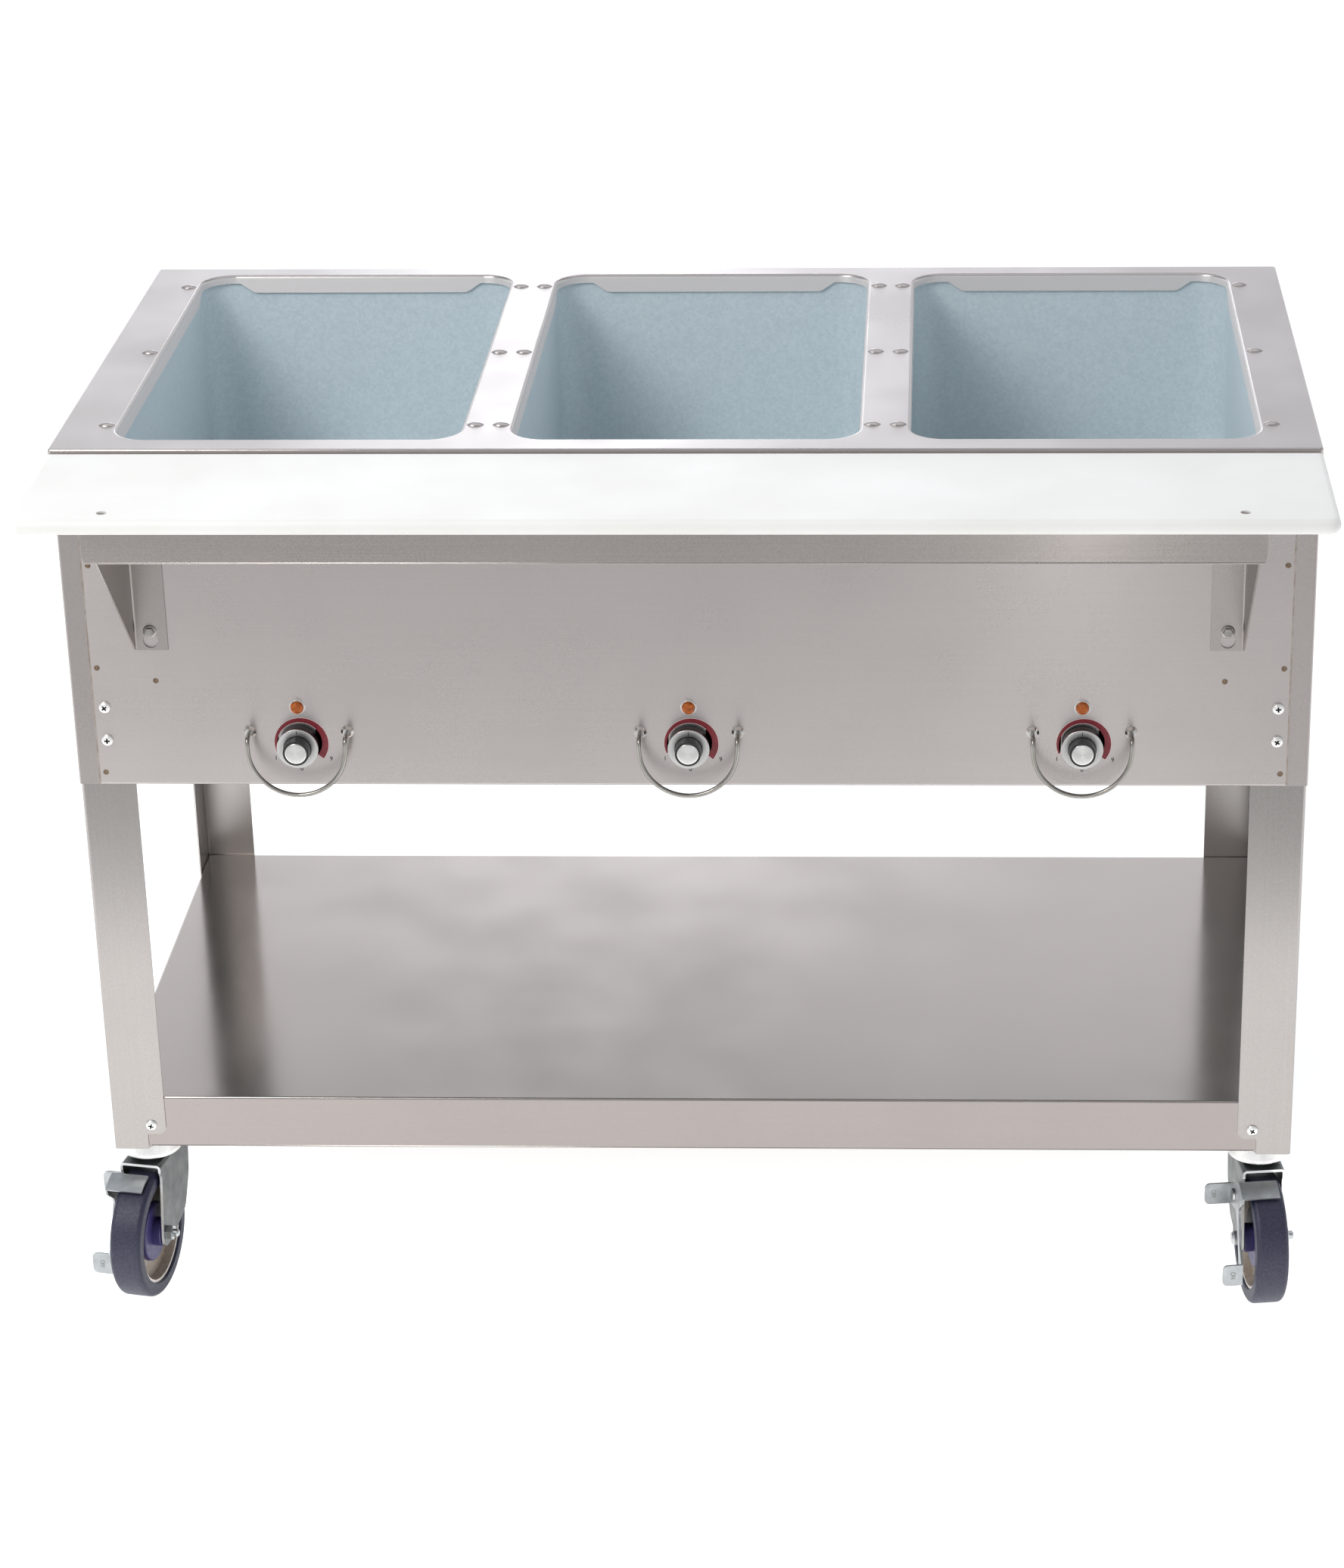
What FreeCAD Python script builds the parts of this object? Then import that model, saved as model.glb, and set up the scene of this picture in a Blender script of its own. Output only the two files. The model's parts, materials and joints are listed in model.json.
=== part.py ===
import FreeCAD, Part
import math
import os

# Electric steam table on casters: three hot wells in a folded stainless body, a cutting board on a
# front shelf, three heat switches with wire guards, four legs with an undershelf, four casters.
# Millimetres. While modelling, X = 0 is the middle of the body, Y = 0 the front face of the deck's
# skirt (+Y to the back) and Z = 0 the floor. The finished pieces move to the origin stated below.

# Body
body_width = 1130.0
body_depth = 570.0
deck_height = 863.6
body_height = 324.4
sheet = 1.2
bend = 2.0
skirt_height = 24.0
skirt_corner = 3.0
panel_return = 15.0
seam_inset = 21.0
flange_width = 42.0
panel_top_gap = 3.0

# Deck openings and the wells that hang in them
deck_margin = 52.2
deck_rail = 46.3
opening_front = 29.0
opening_rear = 26.0
opening_corner = 30.0
rim_roll = 3.0
flange_drop = 8.0
tab_drop = 17.5
tab_inset = 34.0
tab_slope = 14.0
tab_round = 9.0
dimple_half = 8.0
dimple_half_width = 4.5
dimple_rise = 2.4
dimple_offset = 11.5
dimple_inset = 39.5
well_gap = 1.9
well_sheet = 0.9
well_depth = 203.0
well_bottom_radius = 12.0
well_lip = 12.0

# Heaters
element_radius = 4.25
element_height = 15.0
element_inset = 50.0
element_front = 24.0
lead_spacing = 70.0
lead_front = 74.0
lead_below = 34.0
lead_bend = 9.0
element_turn = 0.44
collar_radius = 9.0
collar_height = 4.0
lead_clearance = 0.3
insulation_thick = 25.0
insulation_inset = 14.0

# Legs, undershelf and screws
leg_size = 51.0
leg_sheet = 1.5
leg_overlap = 97.0
leg_tab_width = 33.0
leg_tab_rise = 16.3
leg_toe_drop = 0.4
leg_tab_corner = 8.0
foot_plate = 2.5
foot_chamfer = 20.0
foot_size = 46.0
foot_corner = 12.0
shelf_top = 212.4
screw_head = 5.5
screw_head_height = 3.2
screw_head_edge = 1.1
screw_crown = 3.3
screw_shank = 2.4
screw_reach = 11.0
screw_clearance = 0.1
panel_screw_inset = 28.6
panel_screw_drops = (247.7, 280.0)
shelf_screw_inset = 37.1
shelf_screw_rise = 23.0

# Cutting board, its shelf and brackets
board_front = 184.0
board_gap = 2.0
board_thick = 13.5
board_drop = 2.0
board_corner = 11.0
board_round = 6.0
tray_inset = 60.5
tray_front = 168.0
tray_lip = 30.5
tray_corner = 7.0
tray_hem = 8.0
pin_radius = 4.0
pin_hole_clearance = 0.5
pin_inset = 79.5
pin_front = 161.5
pin_below_top = 1.5
bracket_sheet = 1.5
bracket_bend = 3.6
bracket_inset = 63.0
bracket_width = 31.0
bracket_bottom = 191.0
bracket_reach = 150.0
bracket_skirt_gap = 0.6
bracket_nose = 22.0
bolt_inset = 78.6
bolt_drops = (60.0, 172.8)
keyhole_radius = 6.8
keyhole_offset = 9.2
slot_clearance = 0.3
bolt_radius = 3.0
bolt_flats = 10.0
bolt_head = 4.0
bolt_reach = 14.0

# Controls
control_drop = 282.8
pilot_drop = 246.8
guard_drop = 271.2
guard_half = 44.7
guard_reach = 20.0
guard_straight = 10.0
guard_wire = 2.0
guard_bend = 6.0
guard_tail = 9.0
boss_radius = 5.8
boss_height = 4.0
boss_edge = 1.2
boss_crown = 3.8
fit_clearance = 0.05
hole_clearance = 0.3
knob_gap = 2.0
knob_radius = 19.0
knob_base = 11.0
knob_flare = 1.0
skirt_plate = 1.2
grip_radius = 12.4
grip_height = 11.0
grip_taper = 0.6
cap_radius = 10.7
cap_height = 0.9
shaft_radius = 3.0
shaft_in_knob = 16.0
shaft_in_switch = 14.0
switch_width = 38.0
switch_tall = 44.0
switch_deep = 33.0
switch_bush = 5.0
bush_proud = 1.0
bezel_radius = 7.6
bezel_flange = 2.0
bezel_body = 6.9
bezel_deep = 18.0
lens_radius = 6.1
lens_dome = 3.0
lens_round = 2.8
lens_gap = 0.1
lens_seat = 6.0
pilot_nut = 9.4
pilot_nut_thick = 3.0

# Supply gland, terminal block and wires
gland_inset = 265.0
gland_drop = 285.0
gland_thread = 10.0
gland_bore = 5.0
gland_reach = 22.0
gland_flats = 24.0
gland_head = 8.0
gland_cap_step = 1.0
gland_cap_round = 4.0
gland_inside = 9.0
locknut_thick = 4.0
block_length = 78.0
block_high = 24.0
block_base = 13.2
block_deep = 22.0
block_poles = 5
block_offset = 130.0
block_inset = 40.0
barrier = 3.0
loom_radius = 4.0
loom_bend = 30.0
loom_front = 20.0
wire_radius = 2.5
wire_bend = 14.0

# Casters
caster_height = 157.1
caster_inset_x = 30.6
caster_inset_y = 38.0
wheel_radius = 63.5
tyre_width = 31.0
tread_corner = 5.0
tyre_bevel = 1.0
rim_radius = 50.0
rim_width = 26.0
rim_lip = 3.0
dish_slope = 3.0
web_thick = 8.0
cover_radius = 29.0
cover_face = 9.0
cover_round = 2.0
hub_radius = 14.0
hub_width = 34.0
axle_radius = 4.0
trail = 28.0
fork_half = 20.5
fork_sheet = 2.5
fork_drop = 18.6
fork_corner = 4.0
fork_front = 33.0
fork_rear = 41.0
fork_tip = 13.0
fork_shoulder = 8.0
fork_step = 3.0
fork_bevel = 6.0
fork_tip_round = 8.0
fork_tip_half = 9.0
fork_waist = 19.0
fork_waist_round = 18.0
fork_bulge_rise = 33.0
fork_bulge_round = 40.0
fork_back_slope = 5.0
race_radius = 29.0
race_drop = 15.1
race_taper = 2.5
race_edge = 1.2
race_band = 4.0
kingpin_radius = 7.0
kingpin_head = 10.5
kingpin_head_thick = 3.5
race_ring_radius = 21.0
race_ring_inner = 13.0
race_ring_bevel = 2.0
race_ring_rise = 3.0
stem_radius = 6.0
stem_rise = 20.0
stem_nut_flats = 19.0
stem_nut_thick = 8.0
axle_head = 7.0
axle_head_thick = 8.0
axle_bevel = 2.0
axle_end = 5.5
axle_end_bevel = 1.5
axle_nut_flats = 13.0
axle_nut_thick = 6.0
running_gap = 0.3
front_left_yaw = -10.5
front_right_yaw = 7.2
rear_left_yaw = 8.0
rear_right_yaw = -5.0

# Brake rocker on the front casters, in the caster's own frame
lever_sheet = 2.0
lever_offset = 3.5
lever_pivot_y = -22.0
lever_pivot_z = 108.0
lever_pin = 4.0
lever_boss = 9.0
lever_rivet = 6.0
lever_nose = 1.5
lever_nose_drop = 7.0
lever_nose_round = 3.0
lever_throat = 22.0
lever_throat_drop = 4.0
lever_waist = 11.0
lever_round = 8.0
lever_arm = 11.0
lever_arm_rise = 15.0
lever_arm_width = 7.0
lever_toe = 6.0
lever_toe_round = 4.0
lever_head = 8.0
lever_head_round = 6.0
press_tab_round = 5.0
shoe_clearance = 3.4
shoe_from = 10.5
shoe_to = 29.0
shoe_past_centre = 10.5
on_tab_y = -65.0
on_tab_low = 33.0
on_tab_high = 55.0
on_tab_reach = 43.5
off_tab_y = -4.0
off_tab_low = 89.0
off_tab_high = 111.0
off_tab_reach = 51.0

# Values that follow from the sizes above
half_width = body_width / 2
body_z = deck_height - body_height
opening_width = (body_width - 2 * deck_margin - 2 * deck_rail) / 3
opening_length = body_depth - opening_front - opening_rear
well_pitch = opening_width + deck_rail
well_xs = (-well_pitch, 0.0, well_pitch)
dimple_pitch = opening_length / 2 - dimple_inset
tray_half = half_width - tray_inset
pin_x = half_width - pin_inset
bracket_outer = half_width - bracket_inset
bolt_x = half_width - bolt_inset
gland_x = half_width - gland_inset
panel_y = sheet
panel_half = half_width - seam_inset
leg_x = half_width - 2 * sheet
leg_y = 3 * sheet
leg_top = body_z + leg_overlap
leg_bottom = caster_height - leg_toe_drop
under_deck = deck_height - sheet
well_floor = under_deck - well_depth
well_width = opening_width + 2 * (sheet + well_gap)
well_length = opening_length + 2 * (sheet + well_gap)
well_corner = opening_corner + sheet + well_gap
opening_middle = opening_front + opening_length / 2
caster_x = half_width - caster_inset_x
axle_z = wheel_radius
fork_top = caster_height - fork_drop
race_bottom = caster_height - race_drop
tray_z = deck_height - board_drop - board_thick
block_x = gland_x + block_offset
block_back = body_depth - block_inset
tab_turn = math.radians(abs(front_left_yaw))
left_reach = caster_x + on_tab_reach * math.cos(tab_turn) - on_tab_y * math.sin(tab_turn)
origin_x = (half_width - left_reach) / 2
origin_y = (body_depth - sheet + gland_reach - board_front) / 2


def vec(x, y, z):
    return FreeCAD.Vector(x, y, z)


def on_plane(plane, u, v, w):
    if plane == "XY":
        return vec(u, v, w)
    if plane == "XZ":
        return vec(u, w, v)
    return vec(w, u, v)


def outline(points, plane, level):
    """Closed wire through points (u, v) or (u, v, corner radius) on a main plane."""
    corners = [on_plane(plane, p[0], p[1], level) for p in points]
    radii = [p[2] if len(p) > 2 else 0.0 for p in points]
    starts, ends, arcs = [], [], []
    for i, corner in enumerate(corners):
        before = (corners[i - 1] - corner).normalize()
        after = (corners[(i + 1) % len(corners)] - corner).normalize()
        if radii[i] == 0.0:
            starts.append(corner)
            ends.append(corner)
            arcs.append(None)
            continue
        half = before.getAngle(after) / 2
        reach = radii[i] / math.tan(half)
        inward = (before + after).normalize()
        middle = corner + inward * (radii[i] / math.sin(half) - radii[i])
        starts.append(corner + before * reach)
        ends.append(corner + after * reach)
        arcs.append(Part.Arc(starts[i], middle, ends[i]).toShape())
    edges = []
    for i in range(len(corners)):
        if arcs[i]:
            edges.append(arcs[i])
        following = starts[(i + 1) % len(corners)]
        if ends[i].distanceToPoint(following) > 1e-6:
            edges.append(Part.LineSegment(ends[i], following).toShape())
    return Part.Wire(edges)


def prism(points, plane, start, end):
    face = Part.Face(outline(points, plane, start))
    return face.extrude(on_plane(plane, 0, 0, end - start))


def box(x0, x1, y0, y1, z0, z1):
    return Part.makeBox(x1 - x0, y1 - y0, z1 - z0, vec(x0, y0, z0))


def rounded_block(x0, x1, y0, y1, z0, z1, corner):
    points = [(x0, y0, corner), (x1, y0, corner), (x1, y1, corner), (x0, y1, corner)]
    return prism(points, "XY", z0, z1)


def rod(start, direction, radius, length):
    return Part.makeCylinder(radius, length, start, direction)


def turned(points, centre, axis):
    """Solid turned about an axis from a profile of (radius, height along the axis, corner radius)."""
    solid = Part.Face(outline(points, "XZ", 0.0)).revolve(vec(0, 0, 0), vec(0, 0, 1), 360)
    solid.Placement = FreeCAD.Placement(centre, FreeCAD.Rotation(vec(0, 0, 1), axis))
    return solid


def hexagon(flats, height, centre, axis):
    radius = flats / math.sqrt(3)
    turns = [math.radians(60 * i) for i in range(6)]
    solid = prism([(radius * math.cos(t), radius * math.sin(t)) for t in turns], "XY", 0.0, height)
    solid.Placement = FreeCAD.Placement(centre, FreeCAD.Rotation(vec(0, 0, 1), axis))
    return solid


def bent_rod(points, radius, bends):
    """Round bar along straight runs joined by tangent arcs, one bend radius per inner point."""
    edges = []
    last = points[0]
    for i in range(1, len(points) - 1):
        before = (points[i - 1] - points[i]).normalize()
        after = (points[i + 1] - points[i]).normalize()
        half = before.getAngle(after) / 2
        reach = bends[i - 1] / math.tan(half)
        inward = (before + after).normalize()
        middle = points[i] + inward * (bends[i - 1] / math.sin(half) - bends[i - 1])
        first, second = points[i] + before * reach, points[i] + after * reach
        if last.distanceToPoint(first) > 1e-6:
            edges.append(Part.LineSegment(last, first).toShape())
        edges.append(Part.Arc(first, middle, second).toShape())
        last = second
    if last.distanceToPoint(points[-1]) > 1e-6:
        edges.append(Part.LineSegment(last, points[-1]).toShape())
    path = Part.Wire(edges)
    section = Part.Wire(Part.Circle(points[0], (points[1] - points[0]).normalize(), radius).toShape())
    return path.makePipeShell([section], True, False)


def flip_x(shape):
    return shape.mirror(vec(0, 0, 0), vec(1, 0, 0))


def flip_y(shape):
    return shape.mirror(vec(0, body_depth / 2, 0), vec(0, 1, 0))


def edges_at(shape, level):
    """Edges that lie flat at one height."""
    flat = [e for e in shape.Edges if e.BoundBox.ZLength < 1e-4]
    return [e for e in flat if abs(e.BoundBox.ZMin - level) < 1e-4]


def inner_edges_at(shape, level):
    """Edges flat at one height that keep off the shape's outer sides."""
    whole, near = shape.BoundBox, sheet / 2
    spans = [(e, e.BoundBox) for e in edges_at(shape, level)]
    across = [(e, s) for e, s in spans if s.XMin > whole.XMin + near and s.XMax < whole.XMax - near]
    return [e for e, s in across if s.YMin > whole.YMin + near and s.YMax < whole.YMax - near]


def opening_block(x, grow, z0, z1):
    """A deck opening's outline, grown on all sides, as a block."""
    half = opening_width / 2 + grow
    back = opening_front + opening_length + grow
    return rounded_block(x - half, x + half, opening_front - grow, back, z0, z1, opening_corner + grow)


def opening_rim(x):
    """Deck edge rolled down into an opening, with a short flange and four long tabs."""
    flange_z = deck_height - flange_drop
    tab_z = deck_height - tab_drop
    outer = sheet + rim_roll
    ring = opening_block(x, outer, flange_z, deck_height).cut(opening_block(x, 0.0, flange_z, deck_height))
    ring = ring.makeFillet(rim_roll, inner_edges_at(ring, deck_height))
    under = opening_block(x, outer, flange_z, under_deck).cut(opening_block(x, sheet, flange_z, under_deck))
    ring = ring.cut(under.makeFillet(rim_roll - sheet, inner_edges_at(under, under_deck)))
    a = opening_width / 2 - tab_inset
    b = opening_length / 2 - tab_inset
    m = opening_middle
    short = [(x - a, flange_z), (x + a, flange_z), (x + a - tab_slope, tab_z, tab_round)]
    short += [(x - a + tab_slope, tab_z, tab_round)]
    long = [(m - b, flange_z), (m + b, flange_z), (m + b - tab_slope, tab_z, tab_round)]
    long += [(m - b + tab_slope, tab_z, tab_round)]
    front, back = opening_front, opening_front + opening_length
    left, right = x - opening_width / 2, x + opening_width / 2
    tabs = [prism(short, "XZ", front - sheet, front), prism(short, "XZ", back, back + sheet)]
    tabs += [prism(long, "YZ", left - sheet, left), prism(long, "YZ", right, right + sheet)]
    return ring.fuse(tabs)


def dimple(x, y):
    """Low spindle pressed up from the deck with its long way across."""
    radius = (dimple_half_width ** 2 + dimple_rise ** 2) / (2 * dimple_rise)
    axis_z = deck_height + dimple_rise - radius
    rim = math.sqrt(radius ** 2 - dimple_half_width ** 2)
    ends = vec(x - dimple_half, y, axis_z + rim), vec(x + dimple_half, y, axis_z + rim)
    crown = Part.Arc(ends[0], vec(x, y, axis_z + radius), ends[1]).toShape()
    feet = vec(x + dimple_half, y, axis_z), vec(x - dimple_half, y, axis_z)
    lines = [Part.LineSegment(ends[1], feet[0]), Part.LineSegment(*feet), Part.LineSegment(feet[1], ends[0])]
    face = Part.Face(Part.Wire([crown] + [line.toShape() for line in lines]))
    spindle = face.revolve(feet[1], vec(1, 0, 0), 360)
    above = box(x - dimple_half, x + dimple_half, y - radius, y + radius, under_deck, axis_z + 2 * radius)
    return spindle.common(above)


def top_deck():
    skirt_z = deck_height - skirt_height
    shell = rounded_block(-half_width, half_width, 0.0, body_depth, skirt_z, deck_height, skirt_corner)
    shell = shell.makeFillet(bend, edges_at(shell, deck_height))
    inside = half_width - sheet
    back = body_depth - sheet
    hollow = rounded_block(-inside, inside, sheet, back, skirt_z, under_deck, skirt_corner - sheet)
    hollow = hollow.makeFillet(bend - sheet, edges_at(hollow, under_deck))
    cut_outs = [opening_block(x, sheet + rim_roll, skirt_z, deck_height) for x in well_xs]
    raised = [opening_rim(x) for x in well_xs]
    for x in well_xs:
        for side in (-1, 1):
            for step in (-1, 0, 1):
                across = x + side * (opening_width / 2 + dimple_offset)
                raised.append(dimple(across, opening_middle + step * dimple_pitch))
    return shell.cut([hollow] + cut_outs).fuse(raised).removeSplitter()


def holes_along_y(places, radius):
    """Drills through the front panel and what lies behind it, at (x, drop below the deck)."""
    depth = screw_reach + bolt_reach
    starts = [vec(x, panel_y - sheet, deck_height - drop) for x, drop in places]
    return [rod(start, vec(0, 1, 0), radius, depth) for start in starts]


def panel_screw_places():
    return [(side * (leg_x - panel_screw_inset), drop) for side in (-1, 1) for drop in panel_screw_drops]


def plain_panel():
    """Front panel before its holes: a sheet with its lower edge turned back, notched at the legs."""
    top = under_deck - panel_top_gap
    inner = panel_y + sheet
    back = panel_y + panel_return
    profile = [(panel_y, top), (panel_y, body_z, bend), (back, body_z), (back, body_z + sheet)]
    profile += [(inner, body_z + sheet, bend - sheet), (inner, top)]
    panel = prism(profile, "YZ", -panel_half, panel_half)
    notch = box(leg_x - leg_size - sheet, panel_half, inner, back, body_z, body_z + bend)
    panel = panel.cut([notch, flip_x(notch)])
    return panel.cut(holes_along_y(panel_screw_places(), screw_shank + screw_clearance))


def front_panel():
    drills = []
    for x in well_xs:
        drills += holes_along_y([(x, control_drop)], switch_bush + hole_clearance)
        drills += holes_along_y([(x, pilot_drop)], bezel_body + hole_clearance)
        guards = [(x - guard_half, guard_drop), (x + guard_half, guard_drop)]
        drills += holes_along_y(guards, guard_wire + hole_clearance)
    bolts = [(side * bolt_x, drop) for side in (-1, 1) for drop in bolt_drops]
    drills += holes_along_y(bolts, bolt_radius + hole_clearance)
    return plain_panel().cut(drills)


def back_panel():
    hole = holes_along_y([(gland_x, gland_drop)], gland_thread + hole_clearance)
    return flip_y(plain_panel().cut(hole))


def end_panel():
    """Right end: a tray on its side whose flanges lie behind the front and back panels."""
    outer = half_width - sheet
    edge = outer - flange_width
    front, back = 2 * sheet, body_depth - 2 * sheet
    plan = [(edge, front), (outer, front, bend), (outer, back, bend), (edge, back), (edge, back - sheet)]
    plan += [(outer - sheet, back - sheet, bend - sheet), (outer - sheet, front + sheet, bend - sheet)]
    plan += [(edge, front + sheet)]
    panel = prism(plan, "XY", body_z, under_deck - panel_top_gap)
    clear = leg_y + leg_size + sheet
    turned_in = box(outer - panel_return, outer - sheet, clear, body_depth - clear, body_z, body_z + sheet)
    drills = holes_along_y(panel_screw_places(), screw_shank + screw_clearance)
    return panel.fuse(turned_in).cut(drills + [flip_y(d) for d in drills])


def bottom_panel():
    """Flat cover on the turned-in edges, notched for the legs."""
    side, front = leg_x - sheet, leg_y + sheet / 2
    level = body_z + sheet
    cover = box(-side, side, front, body_depth - front, level, level + sheet)
    notch = box(leg_x - leg_size - sheet, side, front, leg_y + leg_size + sheet, level, level + sheet)
    back = flip_y(notch)
    return cover.cut([notch, flip_x(notch), back, flip_x(back)])


def well_block(x, grow, z0, z1):
    half = well_width / 2 + grow
    reach = well_length / 2 + grow
    front, back = opening_middle - reach, opening_middle + reach
    return rounded_block(x - half, x + half, front, back, z0, z1, well_corner + grow)


def lead_places(x):
    return [(x - lead_spacing / 2, lead_front), (x + lead_spacing / 2, lead_front)]


def lead_holes(x, z0, z1):
    radius = element_radius + lead_clearance
    return [rod(vec(u, v, z0), vec(0, 0, 1), radius, z1 - z0) for u, v in lead_places(x)]


def well(x):
    """Drawn pan under an opening, its lip up against the deck."""
    base = well_floor - well_sheet
    outer = well_block(x, well_sheet, base, under_deck)
    outer = outer.makeFillet(well_bottom_radius + well_sheet, edges_at(outer, base))
    inner = well_block(x, 0.0, well_floor, under_deck)
    inner = inner.makeFillet(well_bottom_radius, edges_at(inner, well_floor))
    lip = well_block(x, well_sheet + well_lip, under_deck - well_sheet, under_deck)
    return outer.fuse(lip).cut([inner] + lead_holes(x, base, well_floor))


def heating_element(x):
    """Tubular heater: up from one lead, round the well's floor, down to the other lead."""
    level = well_floor + element_height
    low = well_floor - lead_below
    inner = lead_spacing / 2
    outer = well_width / 2 - element_inset
    back = opening_middle + well_length / 2 - element_inset
    front = opening_middle - well_length / 2 + element_front
    left = [vec(x - inner, lead_front, low), vec(x - inner, lead_front, level)]
    left += [vec(x - inner, back, level), vec(x - outer, back, level), vec(x - outer, front, level)]
    right = [vec(2 * x - p.x, p.y, p.z) for p in reversed(left)]
    turn = (outer - inner) * element_turn
    tube = bent_rod(left + right, element_radius, [lead_bend] + [turn] * 6 + [lead_bend])
    seats = [vec(u, v, well_floor) for u, v in lead_places(x)]
    collars = [rod(seat, vec(0, 0, 1), collar_radius, collar_height) for seat in seats]
    return tube.fuse(collars)


def insulation(x):
    top = well_floor - well_sheet
    slab = well_block(x, -insulation_inset, top - insulation_thick, top)
    return slab.cut(lead_holes(x, top - insulation_thick, top))


def leg():
    """Front right leg: an angle section with cut-back toes and a foot plate welded inside."""
    inside_x, inside_y = leg_x - leg_sheet, leg_y + leg_sheet
    toe_x, toe_y = leg_x - leg_size, leg_y + leg_size
    plan = [(leg_x, leg_y, 2 * leg_sheet), (leg_x, toe_y), (inside_x, toe_y)]
    plan += [(inside_x, inside_y, leg_sheet), (toe_x, inside_y), (toe_x, leg_y)]
    angle = prism(plan, "XY", leg_bottom, leg_top)
    notch = leg_bottom + leg_tab_rise
    front = [(toe_x, leg_top), (toe_x, notch, leg_tab_corner), (leg_x - leg_tab_width, notch, leg_sheet)]
    front += [(leg_x - leg_tab_width, leg_bottom), (leg_x, leg_bottom), (leg_x, leg_top)]
    side = [(toe_y, leg_top), (toe_y, notch, leg_tab_corner), (leg_y + leg_tab_width, notch, leg_sheet)]
    side += [(leg_y + leg_tab_width, leg_bottom), (leg_y, leg_bottom), (leg_y, leg_top)]
    angle = angle.common(prism(front, "XZ", leg_y, toe_y)).common(prism(side, "YZ", toe_x, leg_x))
    far_x, far_y = leg_x - foot_size, leg_y + foot_size
    foot = [(inside_x, inside_y, leg_sheet), (inside_x, leg_y + leg_tab_width)]
    foot += [(inside_x - foot_chamfer, far_y), (far_x, far_y, foot_corner)]
    foot += [(far_x, inside_y + foot_chamfer), (leg_x - leg_tab_width, inside_y)]
    plate = prism(foot, "XY", caster_height, caster_height + foot_plate)
    stem_place = vec(caster_x, caster_inset_y, caster_height)
    stem = rod(stem_place, vec(0, 0, 1), stem_radius + hole_clearance, foot_plate)
    drills = [stem] + shelf_screw_drills()
    drills += holes_along_y(panel_screw_places(), screw_shank + screw_clearance)
    return angle.fuse(plate).cut(drills)


def shelf_screw_spots():
    """Start and direction of the front right leg's two shelf screws, on the leg's outer faces."""
    z = caster_height + foot_plate + shelf_screw_rise
    yield vec(leg_x - shelf_screw_inset, leg_y, z), vec(0, 1, 0)
    yield vec(leg_x, leg_y + shelf_screw_inset, z), vec(-1, 0, 0)


def shelf_screw_drills():
    depth = 2 * leg_sheet + sheet
    return [rod(p, d, screw_shank + screw_clearance, depth) for p, d in shelf_screw_spots()]


def four_corners(shape):
    """A front right piece with its copies at the front left, rear right and rear left."""
    return [shape, flip_x(shape), flip_y(shape), flip_x(flip_y(shape))]


def undershelf():
    """Tray turned upside down between the legs, standing on their foot plates."""
    side, front = leg_x - leg_sheet, leg_y + leg_sheet
    low = caster_height + foot_plate
    shell = rounded_block(-side, side, front, body_depth - front, low, shelf_top, skirt_corner)
    shell = shell.makeFillet(bend, edges_at(shell, shelf_top))
    inner = side - sheet
    hollow = rounded_block(-inner, inner, front + sheet, body_depth - front - sheet, low, shelf_top - sheet,
                           skirt_corner - sheet)
    hollow = hollow.makeFillet(bend - sheet, edges_at(hollow, shelf_top - sheet))
    drills = [d for drill in shelf_screw_drills() for d in four_corners(drill)]
    return shell.cut([hollow] + drills)


def screw(place, direction):
    """Pan-head screw whose head bears at place and whose shank runs along direction."""
    profile = [(0.0, screw_reach), (screw_shank, screw_reach), (screw_shank, 0.0), (screw_head, 0.0)]
    profile += [(screw_head, -screw_head_edge), (screw_crown, -screw_head_height)]
    profile += [(0.0, -screw_head_height)]
    return turned(profile, place, direction)


def panel_screws():
    places = [vec(x, panel_y, deck_height - drop) for x, drop in panel_screw_places()]
    front = [screw(place, vec(0, 1, 0)) for place in places]
    return front + [flip_y(s) for s in front]


def shelf_screws():
    return [s for place, way in shelf_screw_spots() for s in four_corners(screw(place, way))]


def carving_board():
    """Loose cutting board in front of the deck, held by two pins of its shelf."""
    front, back = -board_front, -board_gap
    low = tray_z
    plan = [(-half_width, back), (-half_width, front, board_corner)]
    plan += [(half_width, front, board_corner), (half_width, back)]
    slab = prism(plan, "XY", low, low + board_thick)
    slab = slab.makeFillet(board_round, edges_at(slab, low) + edges_at(slab, low + board_thick))
    radius = pin_radius + pin_hole_clearance
    places = [vec(side * pin_x, -pin_front, low) for side in (-1, 1)]
    holes = [rod(place, vec(0, 0, 1), radius, board_thick) for place in places]
    return slab.cut(holes)


def board_shelf():
    """Folded shelf under the board: a flat top, a rounded front lip with a turned-in hem, two welded pins."""
    front, back = -tray_front, -board_gap
    low = tray_z - tray_lip
    profile = [(back, tray_z), (front, tray_z, bend), (front, low, bend), (front + tray_hem, low)]
    profile += [(front + tray_hem, low + sheet), (front + sheet, low + sheet, bend - sheet)]
    profile += [(front + sheet, tray_z - sheet, bend - sheet), (back, tray_z - sheet)]
    tray = prism(profile, "YZ", -tray_half, tray_half)
    face = [(-tray_half, tray_z), (-tray_half, low, tray_corner)]
    face += [(tray_half, low, tray_corner), (tray_half, tray_z)]
    tray = tray.common(prism(face, "XZ", front, back))
    height = board_thick - pin_below_top
    places = [vec(side * pin_x, -pin_front, tray_z) for side in (-1, 1)]
    return tray.fuse([rod(place, vec(0, 0, 1), pin_radius, height) for place in places])


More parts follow.
